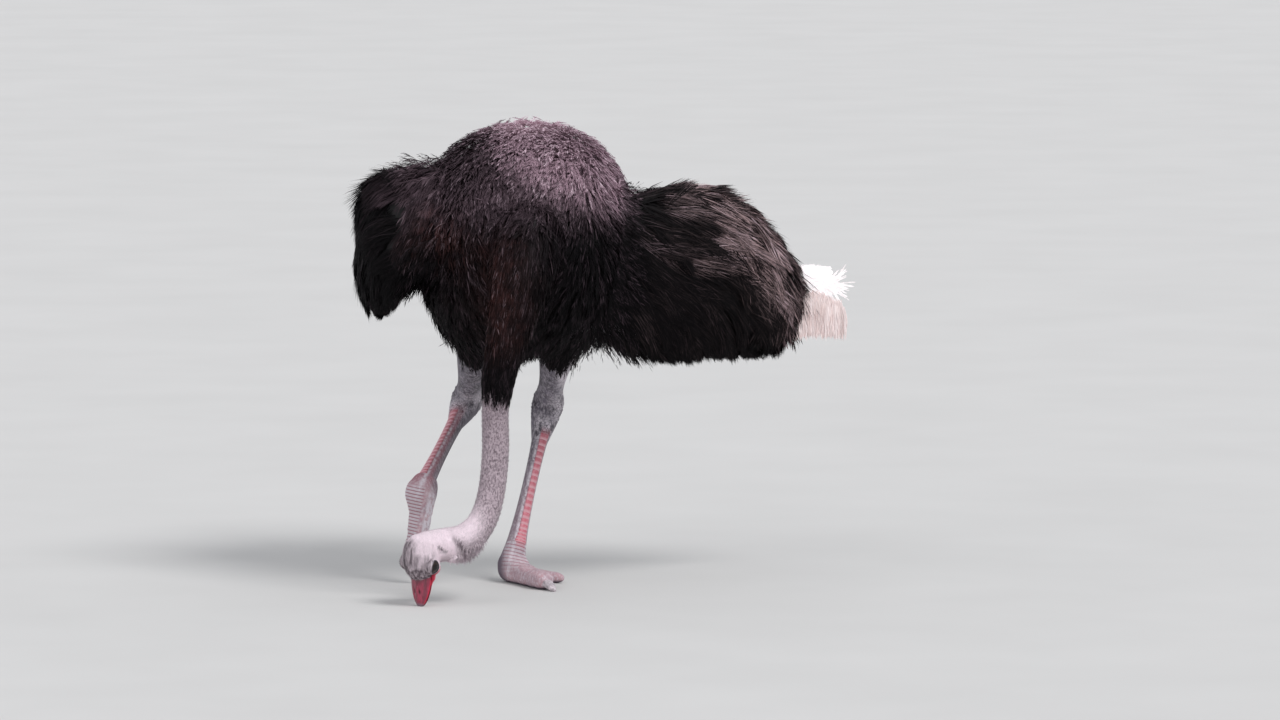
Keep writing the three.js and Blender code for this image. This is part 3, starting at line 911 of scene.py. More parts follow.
# ---------- feathers ----------


def beside(place, path, count=60):
    """The nearest of `count` points along a path: their numbers, the points and the ways ahead."""
    line = curve(np.asarray(path, float)[:, :3], np.linspace(0, 1, count))
    tree = KDTree(len(line))
    for row, spot in enumerate(line):
        tree.insert(spot, row)
    tree.balance()
    rows = np.array([tree.find(spot)[1] for spot in place.tolist()])
    return rows, line, unit(np.gradient(line, axis=0))[rows]


def unwrapped(place, path):
    """Spots in an unwrap round the middle line of a part of the skin: turns round it, share along it."""
    rows, line, ahead = beside(place, path)
    side = unit(np.cross(ahead, np.array((0.3, 0.2, 0.93))))
    out = place - line[rows]
    along = (rows + np.clip((out * ahead).sum(1) / np.linalg.norm(line[1] - line[0]), -0.5, 0.5)) / len(line)
    turn = np.arctan2((out * np.cross(ahead, side)).sum(1), (out * side).sum(1)) / (2 * math.pi)
    return np.stack([0.02 + 0.96 * (turn % 1), 0.02 + 0.96 * np.clip(along, 0, 1)], 1)


class Envelope:
    """The outside of some solids: how thick the coat is over the skin, and where the coat ends."""

    def __init__(self, *names):
        self.trees = []
        for name in names:
            mesh = frame["nodes"][name].data
            corners = [tuple(face.vertices) for face in mesh.polygons]
            self.trees.append(BVHTree.FromPolygons(points_of(mesh).tolist(), corners))

    def thickness(self, places, normals, most):
        """Way out from inside the solids along the normals."""
        deep = np.zeros(len(places))
        for tree in self.trees:
            for row, (place, normal) in enumerate(zip(places.tolist(), normals.tolist())):
                hit, facing, _, far = tree.ray_cast(place, normal, most)
                if hit is None:
                    inside = tree.find_nearest(place, 0.03)
                    if inside[0] is not None and (Vector(place) - inside[0]).dot(inside[1]) < 0:
                        deep[row] = max(deep[row], most)
                elif facing.dot(Vector(normal)) > 0:
                    deep[row] = max(deep[row], far)
        return deep

    def outside(self, places):
        """Distance from the solids, negative inside them."""
        least = np.full(len(places), 9.0)
        for tree in self.trees:
            for row, place in enumerate(places.tolist()):
                hit, facing, _, far = tree.find_nearest(place)
                if (Vector(place) - hit).dot(facing) < 0:
                    far = -far
                if far < least[row]:
                    least[row] = far
        return least


LAY_STEPS = 5  # along a shaft that lies on the skin


class Hide:
    """The skin's surface, for planting feathers and laying them along it."""

    def __init__(self, density=1.0):
        self.density = density
        mesh = skin_object().data
        mesh.calc_loop_triangles()
        corners = np.empty(len(mesh.loop_triangles) * 3, np.int32)
        mesh.loop_triangles.foreach_get("vertices", corners)
        self.points, self.normals, self.corners = points_of(mesh), normals_of(mesh), corners.reshape(-1, 3)
        self.tree = BVHTree.FromPolygons(self.points.tolist(), self.corners.tolist())
        a, b, c = (self.points[self.corners[:, corner]] for corner in range(3))
        self.area = np.linalg.norm(np.cross(b - a, c - a), axis=1) / 2
        self.middles = (a + b + c) / 3

    def nearest(self, places):
        """Nearest points of the skin and its normals there."""
        found = [self.tree.find_nearest(place) for place in places.tolist()]
        points = np.array([hit[0] for hit in found])
        normals = np.array([hit[1] for hit in found])
        return points, normals

    def plant(self, count, where, path, rng):
        """Roots spread evenly over the skin where `where` says: places, normals, spots in the unwrap."""
        count = int(count * self.density)
        chance = self.area * where(layout(self.middles))
        total = np.cumsum(chance)
        picks = (np.arange(count) + rng.random(count)) / count * total[-1]
        chosen = np.minimum(np.searchsorted(total, picks), len(chance) - 1)
        u, v = rng.random((2, count, 1))
        flip = u + v > 1
        u, v = np.where(flip, 1 - u, u), np.where(flip, 1 - v, v)
        a, b, c = (self.points[self.corners[chosen, corner]] for corner in range(3))
        place = a + (b - a) * u + (c - a) * v
        return place, unit(self.normals[self.corners[chosen]].sum(1)), unwrapped(layout(place), path)

    def lay(self, roots, normals, length, lie, layer, envelope, rng, stray, past, hang=1.0, most=0.09):
        """Shafts that leave the roots and lie along the skin, at a share `layer` of the coat's depth.

        They stray from the lie, hang free where the skin faces down, and end `past` the envelope.
        """
        count, steps = len(roots), LAY_STEPS
        place, normal = roots, normals
        shaft, facing = [roots], [normals]
        here = roots.copy()
        wander = stray if np.ndim(stray) else rng.normal(0, stray, (count, 3))
        heading = None
        for step in range(1, steps + 1):
            way = lie(layout(place)) + wander
            way = unit(way - dot(way, normal) * normal)
            heading = way if heading is None else unit(way + 0.8 * heading)
            stride = (length / steps)[:, None]
            on_skin, outward = self.nearest(place + heading * stride)
            share = step / steps
            deep = envelope.thickness(on_skin, outward, most)
            lying = on_skin + outward * (deep * layer * share**0.6)[:, None]
            hanging = here + unit(heading + GRAVITY * 1.5) * stride
            loose = np.clip(-outward[:, 2:] * 1.4 + 0.1, 0, 1) * hang * share
            spot = lying * (1 - loose) + hanging * loose
            step_out = np.linalg.norm(spot - here, axis=1, keepdims=True)
            here = here + unit(spot - here) * np.minimum(step_out, stride * 1.3)
            shaft.append(here)
            facing.append(outward)
            place, normal = on_skin, outward
        shaft, facing = np.stack(shaft, 1), unit(np.stack(facing, 1))
        over = envelope.outside(shaft.reshape(-1, 3)).reshape(count, -1)
        over -= past * rng.uniform(0.2, 1.6, (count, 1))
        last = np.full(count, float(steps))
        for step in range(steps, 0, -1):
            crossing = (over[:, step] > 0) & (over[:, step - 1] <= 0)
            part = -over[:, step - 1] / np.maximum(over[:, step] - over[:, step - 1], 1e-6)
            last = np.where(crossing, step - 1 + part, last)
        keep = np.linspace(0, 1, steps + 1)[None] * (last / steps)[:, None]
        return along_shaft(shaft, keep), along_shaft(facing, keep)

    def stand(self, roots, normals, length, way, rise, rng, stray):
        """Short straight shafts that lean along the skin and end `rise` above it."""
        way = way + rng.normal(0, stray, roots.shape)
        way = unit(way - dot(way, normals) * normals)
        tip = roots + way * length[:, None] + normals * rise[:, None]
        middle = (roots + tip) / 2 + normals * (rise * 0.2)[:, None]
        return np.stack([roots, middle, tip], 1), np.stack([normals] * 3, 1)


def along_shaft(shaft, share):
    """Points of each shaft at shares of its length, (n, k, 3) and (n, m) to (n, m, 3)."""
    last = shaft.shape[1] - 1
    place = np.clip(share, 0, 1) * last
    cell = np.minimum(place.astype(int), last - 1)
    t = (place - cell)[..., None]
    row = np.arange(len(shaft))[:, None]
    return shaft[row, cell] * (1 - t) + shaft[row, cell + 1] * t


def barbs(shaft, facing, count, reach, rng, start, spread, hang, lift, curl=0.6, points=3):
    """Barbs on both sides of each shaft: paths (n, count, points, 3), facing and place along the feather.

    They leave it between two shares `start` of its length, at an angle `spread`, and curl and hang.
    """
    n = len(shaft)
    low, high = start
    share = low + (high - low) * (np.arange(count) + rng.random((n, count))) / count
    base = along_shaft(shaft, share)
    ahead = unit(along_shaft(shaft, share + 0.12) - along_shaft(shaft, share - 0.05))
    up = unit(along_shaft(facing, share))
    side = unit(np.cross(up, ahead))
    sign = np.where(np.arange(count) % 2, 1.0, -1.0)[None, :, None]
    angle = (spread * rng.uniform(0.4, 1.3, (n, count)))[..., None]
    out = unit(np.cos(angle) * ahead + np.sin(angle) * sign * side + up * rng.normal(0, lift, (n, count, 1)))
    length = (reach[:, None] * rng.uniform(0.7, 1.15, (n, count)) * (1.15 - 0.8 * share))[..., None]
    t = np.linspace(0, 1, points)[None, None, :, None]
    bend = curl * (ahead - out) + hang * GRAVITY
    paths = base[:, :, None] + length[:, :, None] * (out[:, :, None] * t + bend[:, :, None] * t * t * 0.6)
    fraction = share[..., None] + (1 - share[..., None]) * t[..., 0]
    return paths, np.broadcast_to(up[:, :, None], paths.shape), fraction


def ribbons(paths, facing, width, rng, roll=0.6):
    """Thin strips along paths (n, k, 3) that taper to a point: points (n, 2k - 1, 3), faces of one strip."""
    n, k = paths.shape[:2]
    ahead = unit(np.gradient(paths, axis=1))
    side = unit(np.cross(facing, ahead) + facing * rng.normal(0, roll, (n, 1, 1)))
    taper = np.array([0.75, 1.0, 0.85, 0.7, 0.6])[: k - 1] if k > 2 else np.array([1.0])
    half = side[:, :-1] * (width[:, None] * taper / 2)[..., None]
    left, right = paths[:, :-1] - half, paths[:, :-1] + half
    strip = np.stack([left, right], 2).reshape(n, 2 * (k - 1), 3)
    points = np.concatenate([strip, paths[:, -1:]], 1)
    quads = [(2 * i, 2 * i + 2, 2 * i + 3, 2 * i + 1) for i in range(k - 2)]
    return points, quads, (2 * k - 4, 2 * k - 2, 2 * k - 3)


def coat_piece(name, sets, material, slot, values, shared=0.6, nodes=()):
    """One mesh of many barbs, whose normals lean by a share to the way their feathers face."""
    points, unwraps, corners, sizes, normals, layers = [], [], [], [], [], {key: [] for key in values}
    starts = 0
    for strip, quads, tip, unwrap, numbers, ways in sets:
        n, k = strip.shape[:2]
        base = starts + np.arange(n)[:, None] * k
        pattern = [corner for quad in quads for corner in quad] + list(tip)
        corners.append((base + np.array(pattern)[None]).ravel())
        sizes.append(np.tile([4] * len(quads) + [3], n))
        points.append(strip.reshape(-1, 3))
        own = unit(np.cross(strip[:, -1] - strip[:, 0], strip[:, 1] - strip[:, 0]))[:, None]
        normals.append((own * (1 - shared) + unit(ways) * shared).reshape(-1, 3))
        unwraps.append(unwrap.reshape(-1, 2))
        for key in values:
            layers[key].append(np.broadcast_to(numbers[key], (n, k)).ravel())
        starts += n * k
    corners, first = np.concatenate(corners), np.cumsum([0, *np.concatenate(sizes)[:-1]])
    mesh = bpy.data.meshes.new(name)

    def fill(data, key, rows, kind=np.float32):
        data.foreach_set(key, np.asarray(rows, kind).ravel())

    mesh.vertices.add(starts)
    mesh.loops.add(len(corners))
    mesh.polygons.add(len(first))
    fill(mesh.vertices, "co", np.vstack(points))
    fill(mesh.loops, "vertex_index", corners, np.int32)
    fill(mesh.polygons, "loop_start", first, np.int32)
    mesh.update(calc_edges=True)
    fill(mesh.uv_layers.new(name="OFBake").data, "uv", np.vstack(unwraps)[corners])
    for key in values:
        set_values(mesh, key, np.concatenate(layers[key]))
    lean = mesh.attributes.new("custom_normal", "FLOAT_VECTOR", "POINT")
    fill(lean.data, "vector", unit(np.vstack(normals)))
    shade_smooth(mesh)
    mesh.materials.append(material)
    finish_piece(new_object(name, mesh), slot, *nodes)


TUFT = 0.003  # side of a tuft's patch in the unwrap


def feather_set(shaft, facing, unwrap, marks, count, share, longest, width, rng, tone=None, roll=0.6, **way):
    """The barbs of some feathers as strips, with their colours and their place in the unwrap.

    Each shaft has `count` barbs of a `share` of its length, none over `longest`.
    """
    n = len(shaft)
    whole = np.linalg.norm(np.diff(shaft, axis=1), axis=2).sum(1)
    reach = np.minimum(whole * share, longest)
    paths, up, fraction = barbs(shaft, facing, count, reach, rng, **way)
    k = paths.shape[2]
    flat = paths.reshape(n * count, k, 3)
    facing_flat = up.reshape(n * count, k, 3)
    wide = width * rng.uniform(0.6, 1.3, n * count)
    points, quads, tip = ribbons(flat, facing_flat, wide, rng, roll)
    along = fraction.reshape(n * count, k)
    along = np.concatenate([np.repeat(along[:, :-1], 2, axis=1), along[:, -1:]], 1)
    tuft_tone = rng.random(n) if tone is None else tone
    shade = 0.55 * np.repeat(tuft_tone, count) + 0.45 * rng.random(n * count)
    aside = np.tile((np.arange(count) + 0.5) / count, n)
    corner = np.repeat(unwrap, count, axis=0) if unwrap.ndim == 2 else unwrap.reshape(n * count, 2)
    u = corner[:, :1] + (along - 0.5) * TUFT
    v = corner[:, 1:] + (aside[:, None] - 0.5) * TUFT
    v = v + np.tile([-0.5, 0.5], k)[None, : 2 * k - 1] * TUFT / count
    numbers = {"along": along, "tone": shade[:, None]}
    for key, values in marks.items():
        numbers[key] = np.repeat(values, count)[:, None]
    ways = np.concatenate([np.repeat(facing_flat[:, :-1], 2, axis=1), facing_flat[:, -1:]], 1)
    return points, quads, tip, np.stack([u, v], 2), numbers, ways


# ---------- parts of the skin ----------


def trunk_inside(place):
    """Below 1 inside the trunk, above 1 outside it."""
    turn = math.radians(-TRUNK_YAW)
    x, y = place[:, 0] - TRUNK_MIDDLE[0], place[:, 1] - TRUNK_MIDDLE[1]
    across = x * math.cos(turn) + y * math.sin(turn)
    back = y * math.cos(turn) - x * math.sin(turn)
    high = place[:, 2] - (BACK_HEIGHT - TRUNK_DEPTH / 2)
    spans = ((across, TRUNK_WIDTH), (back, TRUNK_LENGTH), (high, TRUNK_DEPTH))
    return np.sqrt(sum((way / span * 2) ** 2 for way, span in spans))


def left_part(place):
    return ramp(330, 370, place[:, 0]) * ramp(0.9, 0.98, trunk_inside(place)) * (place[:, 1] > 300)


def right_part(place):
    return ramp(-215, -250, place[:, 0]) * ramp(700, 720, place[:, 2])


def neck_part(place):
    """The neck from its root on the breast down to the head."""
    return ramp(200, 170, place[:, 1]) * (place[:, 2] < 1120)


def trunk_part(place):
    """The trunk, clear of the wings and of the legs, and thinner under the cone of the neck."""
    clear = (1 - left_part(place)) * (1 - right_part(place)) * (1 - 0.6 * neck_part(place))
    clear = clear * ramp(690, 700, place[:, 2])
    for leg in LEGS.values():
        knee, hock = np.array(leg["knee"], float), np.array(leg["hock"], float)
        share = (place[:, 2] - knee[2]) / (hock[2] - knee[2])
        off = np.linalg.norm((place - knee - share[:, None] * (hock - knee))[:, :2], axis=1)
        clear = clear * np.maximum(ramp(80, 100, off), ramp(745, 775, place[:, 2]))
    return clear


# ---------- how the feathers lie ----------

LEFT_REACH = unit(np.subtract(LEFT_ARM[-1][:3], LEFT_ARM[0][:3]))
RIGHT_REACH = unit(np.subtract(RIGHT_ARM[-1][:3], RIGHT_ARM[0][:3]))


def body_lie(place):
    """Down the breast and sides, in towards the neck in front, tailward on top, out along the wings."""
    x, y, z = place.T
    tailward = (1.1 * ramp(520, 640, y) - 0.7 * ramp(560, 460, y) * ramp(1250, 1400, z))[:, None] * TAILWARD
    front = ramp(560, 360, y) * ramp(1440, 1340, z) * ramp(330, 250, x)
    front = front * (1 - 2.0 * ramp(-60, -130, x) * ramp(980, 880, z))
    inward = np.stack([np.clip((30 - x) / 240, -0.8, 0.5) * front, np.zeros_like(x), np.zeros_like(x)], 1)
    to_left = (ramp(210, 350, x) * ramp(1250, 1150, z))[:, None] * LEFT_REACH * 1.5
    return GRAVITY + tailward + inward + to_left


def neck_lie(place):
    """Down along the neck, drawn in to its middle line."""
    line = np.array(NECK, float)
    order = np.argsort(line[:, 2])
    below = place[:, 2] - 150
    middle = np.stack([np.interp(below, line[order, 2], line[order, axis]) for axis in (0, 1)] + [below], 1)
    return unit(middle - place)


def left_wing_lie(place):
    """Outward along the arm at the top, bending over to hang at the bottom and the hand."""
    out = (place[:, 0] - 235) / 620
    low = (960 - 90 * out - place[:, 2]) / 260
    down = np.clip(0.16 + 0.5 * np.maximum(low, -0.2) + 0.45 * out**2, 0.02, 1)[:, None]
    return LEFT_REACH * (1 - down) + GRAVITY * down


def right_wing_lie(place):
    """Back and out along the arm at the top, bending over to hang at the bottom."""
    out = np.clip((-130 - place[:, 0]) / 230, 0, 1)
    low = (1060 - place[:, 2]) / 200
    down = np.clip(0.35 + 0.4 * low + 0.3 * out, 0.1, 1)[:, None]
    outward = np.array((-0.8, 0.35, 0.0))
    return outward * (1 - down) + GRAVITY * down + 0.25 * down * RIGHT_REACH


# ---------- operators ----------


class BuildOperator:
    """What every step shares: it is listed in the panel and can be undone."""

    bl_options = {"REGISTER", "UNDO"}


def settings(context):
    return context.scene.ostrich_sizes, context.scene.ostrich_colours


def skin_object():
    if "skin" not in bpy.data.objects:
        raise RuntimeError("make the skin first")
    return bpy.data.objects["skin"]


ROUND_EYE = 0.036  # metres from the middle of an eye where the skin has a finer mesh
# degrees past the edge of the lids, and how far the skin there stands off the eyeball
LID_PAST = (-90, -7, -2, 0.5, 3, 7, 12, 19, 27, 38, 60)
LID_RISE = (-5, -5, -1.5, 1.0, 2.3, 2.2, 1.3, 2.6, 3.2, 2.4, 1.2)


def sculpt_head(obj):
    """Lids that stand round the eyes, brows and ears."""
    fine = bmesh.new()
    fine.from_mesh(obj.data)
    eyes = [Vector(metres(HEAD.outward(eye_frame(side)[0]))) for side in (1, -1)]
    close = [
        edge for edge in fine.edges
        if any((vertex.co - eye).length < ROUND_EYE for vertex in edge.verts for eye in eyes)
    ]
    bmesh.ops.subdivide_edges(fine, edges=close, cuts=2, use_grid_fill=True)
    bmesh.ops.triangulate(fine, faces=[face for face in fine.faces if len(face.verts) > 4])
    fine.to_mesh(obj.data)
    fine.free()
    mesh = obj.data
    points = HEAD.inward(layout(points_of(mesh)))
    for side in (1, -1):
        past, over, centre, way, far = past_lids(points, side)
        lid = EYE_RADIUS + np.interp(past, LID_PAST, LID_RISE)
        lid += 2.4 * ramp(0.1, 0.9, over) * bell(past - 22, 9)
        clear = ramp(16, 27, past)
        points = centre + way * (lid * (1 - clear) + np.maximum(lid, far) * clear)[:, None]
        ahead, across, up = points.T
        ear = np.exp(-(((ahead + 9) / 5) ** 2) - ((across - side * 52) / 14) ** 2 - ((up + 31) / 9) ** 2)
        points[:, 1] -= side * ear * 3
    set_points(mesh, metres(HEAD.outward(points)))


def wrinkle_neck(obj):
    """Rings of slack skin up the bare neck."""
    mesh = obj.data
    points, normals = points_of(mesh), normals_of(mesh)
    place = layout(points)
    x, _, z = place.T
    bare = ramp(720, 640, z) * ramp(130, 220, from_head(place))
    phase = z * 0.42 + np.sin(x * 0.06) * 1.6 - x * 0.2
    fold = np.sin(phase) * 0.5 + np.sin(phase * 2.3 + 1.3) * 0.3
    set_points(mesh, points + normals * (bare * fold * 0.0009)[:, None])


def knurl_leg(obj, side):
    """Knobbly hock, and the folds between the pads of the toes."""
    mesh = obj.data
    points, normals = points_of(mesh), normals_of(mesh)
    place = layout(points)
    x, y, z = place.T
    ahead, _, up = FOOT[side].inward(place).T
    joint = np.linalg.norm(place - LEGS[side]["hock"], axis=1)
    knobs = np.sin(x * 0.31 + 2) * np.sin(y * 0.27) * np.sin(z * 0.33 + 1)
    height = knobs * 3.2 * ramp(90, 40, joint)
    under = ramp(18, 6, up) * ramp(30, 60, ahead)
    height -= under * np.exp(-((((ahead + 20) % 58) - 29) / 5) ** 2) * 3
    set_points(mesh, points + normals * (height / 1000)[:, None])


def skin_material(colours):
    material, n = new_material("Ostrich skin", 0.62, 0.3)
    plumage = use_group(n, plumage_group(colours), Streaks=0.0)
    down = use_group(n, down_group(colours), Speckle=0.5)
    scaly = use_group(n, scaly_group(), Scale=120.0)
    small = use_group(n, scaly_group(), Scale=300.0)
    cloud = n.noise(n.place(), 32, 4)
    shank, blush = colours.shank, colours.toe
    leg = n.blend(n.span(cloud, 0.35, 0.65), dimmed(shank, 0.4), shank)
    grizzle = n.span(n.noise(n.stretch(n.place(), (1, 1, 0.45)), 150, 5, 0.7), 0.46, 0.64, 0, 0.7)
    leg = n.blend(n.times(n.value("blush"), 0.5), leg, blush)
    leg = n.blend(grizzle, leg, dimmed(colours.scale, 0.75))
    # pale scales on the +x side of the hocks: partly real, partly a painted highlight
    knob = n.times(n.value("scales"), n.span(cloud, 0.34, 0.5))
    leg = n.blend(n.times(knob, scaly.outputs["Middle"], clamp=True), leg, colours.scale)
    leg = n.blend(n.times(n.value("rear"), 0.7), leg, dimmed(shank, 0.8))
    leg = n.layers(leg, red=colours.scute)
    toes = n.blend(n.span(cloud, 0.3, 0.7), blush, dimmed(colours.ring, 0.8))
    toes = n.blend(grizzle, toes, colours.scale)
    leg = n.layers(leg, toes=toes)
    # pale flecks: real flaking and pale edges beside the scutes, and a painted highlight on the +x side of
    # the thighs
    pale_flecks_and_highlight = (n.value("pale"), n.span(n.noise(n.place(), 75, 4, 0.65), 0.42, 0.52, 0.25, 1.3))
    leg = n.blend(n.times(*pale_flecks_and_highlight, clamp=True), leg, colours.scale)
    wave = n.span(n.math("SINE", n.times(n.value("ring_place"), 2 * math.pi)), -1, -0.1)
    ringed = n.blend(wave, dimmed(colours.scute, 0.6), dimmed(colours.scale, 0.9))
    leg = n.layers(leg, rings=ringed, pads=colours.pad)
    leg = n.blend(n.span(small.outputs["Middle"], 0, 1, 0.2, 0), leg, (0.05, 0.035, 0.045))
    rim = (0.012, 0.009, 0.011)
    paint = n.layers(plumage.outputs["Color"], neck=down.outputs["Color"], leg=leg, lid=colours.lid, rim=rim)
    n.feed("Base Color", paint)
    height = n.times(n.plus(small.outputs["Height"], scaly.outputs["Height"]), n.value("leg"))
    height = n.plus(height, n.times(n.times(wave, n.value("rings")), 2))
    height = n.plus(height, n.times(n.noise(n.place(), 420, 2), 0.5))
    n.feed("Normal", n.bump(height, 0.55, 0.0014))
    return material


# metres, how finely each part of the skin is drawn
BODY_VOXEL = 0.012
NECK_VOXEL = 0.0024
LEG_VOXEL = 0.0036
FLESH = ("trunk", "wing", "tail", "neck", "head", "thigh", "hock", "tarsus", "foot", "toe")


class OSTRICH_OT_skin(BuildOperator, bpy.types.Operator):
    """One skin over trunk, wings, neck, head and legs"""

    bl_idname = "ostrich.skin"
    bl_label = "Skin"

    def execute(self, context):
        sizes, colours = settings(context)
        shells = [trunk_shell(-sizes.coat_depth * 1000), rump_shell(), left_arm(), right_arm()]
        body = fused("skin", shells, BODY_VOXEL, 3)
        neck = fused("neck", [neck_shell(), skull_shell()], NECK_VOXEL, 3)
        sculpt_head(neck)
        wrinkle_neck(neck)
        limbs = [neck]
        for side, leg in LEGS.items():
            shells = [thigh_shell(leg), *hock_shells(leg), shank_shell(leg), *foot_shells(side)]
            limb = fused(f"leg_{side}", shells, LEG_VOXEL, 4)
            knurl_leg(limb, side)
            limbs.append(limb)
        skin = united(body, limbs)
        mesh = skin.data
        place = layout(on_floor(mesh, points_of(mesh)))
        masks = {**markings(place), **leg_markings(place)}
        masks["lid"], masks["rim"] = np.zeros(len(place)), np.zeros(len(place))
        for side in (1, -1):
            past, _, _, _, far = past_lids(HEAD.inward(place), side)
            masks["lid"] = np.maximum(masks["lid"], ramp(10, 7, past) * (far < 40))
            masks["rim"] = np.maximum(masks["rim"], ramp(2.4, 0.8, past) * (far < 30))
        for name in ("mauve", "brown", "neck", "cream", "smoke", "lid", "rim", *LEG_VALUES):
            set_values(mesh, name, masks[name])
        set_values(mesh, "tone", np.full(len(place), 0.4))
        set_values(mesh, "along", np.full(len(place), 0.6))
        shade_smooth(mesh)
        mesh.materials.clear()
        mesh.materials.append(skin_material(colours))
        finish_piece(skin, "leg_skin", *(name for name in frame["nodes"] if name.split("_")[0] in FLESH))
        return {"FINISHED"}


def marks_at(place, ends=0.0):
    masks = markings(place)
    return {"mauve": masks["mauve"], "brown": masks["brown"], "ends": np.broadcast_to(ends, len(place))}


PLUMAGE_VALUES = ("along", "tone", "mauve", "brown", "ends")


class Planting:
    """Roots of feathers spread over a part of the skin, in locks of about `size` that lie together."""

    def __init__(self, hide, count, where, path, rng, size):
        self.hide, self.rng = hide, rng
        self.roots, self.normals, self.unwrap = hide.plant(count, where, path, rng)
        self.place, self.count = layout(self.roots), len(self.roots)
        self.leaders = np.arange(0, self.count, size)
        tree = KDTree(len(self.leaders))
        for row, leader in enumerate(self.leaders):
            tree.insert(self.roots[leader], row)
        tree.balance()
        self.lock = np.array([tree.find(place)[1] for place in self.roots.tolist()])

    def tone(self, own=0.5):
        """Lightness of each feather, partly shared by its lock."""
        shared = self.rng.random(self.lock.max() + 1)[self.lock]
        return own * self.rng.random(self.count) + (1 - own) * shared

    def stray(self, shared, own):
        """How far each feather strays from the lie, partly shared by its lock."""
        together = self.rng.normal(0, shared, (self.lock.max() + 1, 3))[self.lock]
        return together + self.rng.normal(0, own, (self.count, 3))

    def gather(self, shaft, pull):
        """Draws the tips of the shafts of each lock together."""
        share = (np.linspace(0, 1, shaft.shape[1]) ** 1.4)[None, :, None]
        return shaft + (shaft[self.leaders[self.lock]] - shaft) * share * pull

    def lay(self, length, lie, layer, envelope, pull, stray, past, **more):
        shaft, facing = self.hide.lay(
            self.roots, self.normals, length, lie, layer, envelope, self.rng, stray, past, **more
        )
        return self.gather(shaft, pull), facing

    def coat(self, name, material, width, shaft, facing, barb_sizes, tone, ends=0.0, **shape):
        """A coat piece of barbs: their number on a shaft, their share of its length and their longest."""
        marks = marks_at(self.place, ends)
        fuzz = feather_set(
            shaft, facing, self.unwrap, marks, *barb_sizes, width, self.rng, tone=tone, **shape
        )
        coat_piece(name, [fuzz], material, "feathers_black", PLUMAGE_VALUES)


# how y and z fade in, the least chance of a root, feathers, their length, longest barb, spread and curl
BODY_COATS = {
    "coat_hump": ((560, 540), (1080, 1120), 0, 5200, 0.07, 0.032, 0.26, 0.2),
    "coat_breast": ((540, 510), (1110, 1070), 0, 4000, 0.11, 0.045, 0.36, 0.5),
    "coat_back": ((540, 560), (1010, 1050), 0, 2250, 0.11, 0.045, 0.36, 0.5),
    "coat_flanks": ((500, 530), (1050, 1010), 1e-6, 2200, 0.13, 0.045, 0.36, 0.5),
}


def mantle(place):
    """The shoulder of the right wing, from the neck out to the arm."""
    x, y, z = place.T
    flank = (y < 640) * ramp(-95, -140, x) * ramp(-300, -270, x) * ramp(880, 920, z)
    return flank * (1 + 3 * ramp(1230, 1290, z)) * trunk_part(place)


class OSTRICH_OT_body_coat(BuildOperator, bpy.types.Operator):
    """Loose feathers over the trunk"""

    bl_idname = "ostrich.body_coat"
    bl_label = "Body feathers"

    def execute(self, context):
        sizes, colours = settings(context)
        hide = Hide(sizes.density)
        envelope = Envelope("trunk", "neck_base", "wing_left", "wing_right")
        rng = np.random.default_rng(sizes.seed)
        material = plumage_material("Body feathers", colours)
        middle = BACK_HEIGHT - TRUNK_DEPTH / 2
        line = [from_trunk(0, part * TRUNK_LENGTH, middle) for part in (0, 0.35, 0.7, 1)]
        for name, (back, up, least, count, reach, longest, spread, curl) in BODY_COATS.items():
            def where(place):
                return (ramp(*back, place[:, 1]) * ramp(*up, place[:, 2]) + least) * trunk_part(place)

            feathers = Planting(hide, count, where, line, rng, 5)
            x, y, z = feathers.place.T
            length = reach * rng.uniform(0.7, 1.3, feathers.count)
            layer = 1 - 0.55 * rng.random(feathers.count) ** 1.5
            layer = layer * (1 - 0.34 * ramp(150, 280, x) * ramp(1120, 1250, z))
            layer = layer * (1 - 0.35 * ramp(1320, 1390, z))
            stray = feathers.stray(0.16, 0.14)
            right = ramp(20, -110, x) * ramp(960, 880, z) * (y < 620)
            gap = bell(x - 290, 75) * ramp(900, 820, z) * (y < 620)
            length = length * (1 + 0.55 * right + 0.4 * gap)
            past = (0.005 + 0.016 * ramp(900, 800, z) + 0.04 * right + 0.03 * gap)[:, None]
            shaft, facing = feathers.lay(length, body_lie, layer, envelope, 0.3, stray, past)
            feathers.coat(
                name, material, sizes.barb_width, shaft, facing, (12, 0.5, longest), feathers.tone(0.75),
                start=(0.15, 0.95), hang=0.1, lift=0.07, spread=spread, curl=curl,
            )
        feathers = Planting(hide, 2600, mantle, line, rng, 6)
        high = ramp(1120, 1300, feathers.place[:, 2])
        way = np.stack([-0.75 - 0.25 * high, -0.25 + 0.2 * high, -0.75 + 0.3 * high], 1)
        length = rng.uniform(0.035, 0.14, feathers.count)
        rise = rng.uniform(0.0, 0.045, feathers.count) * (1.1 + 0.2 * high) * (0.12 - length) / 0.06
        rise = np.clip(rise, 0.0, 0.06)
        shaft, facing = hide.stand(feathers.roots, feathers.normals, length, way, rise, rng, 0.2)
        feathers.coat(
            "coat_shoulder", material, sizes.barb_width, feathers.gather(shaft, 0.3), facing, (12, 0.6, 0.05),
            feathers.tone(0.7), start=(0.1, 0.95), spread=0.5, hang=0.7, lift=0.1,
        )
        return {"FINISHED"}


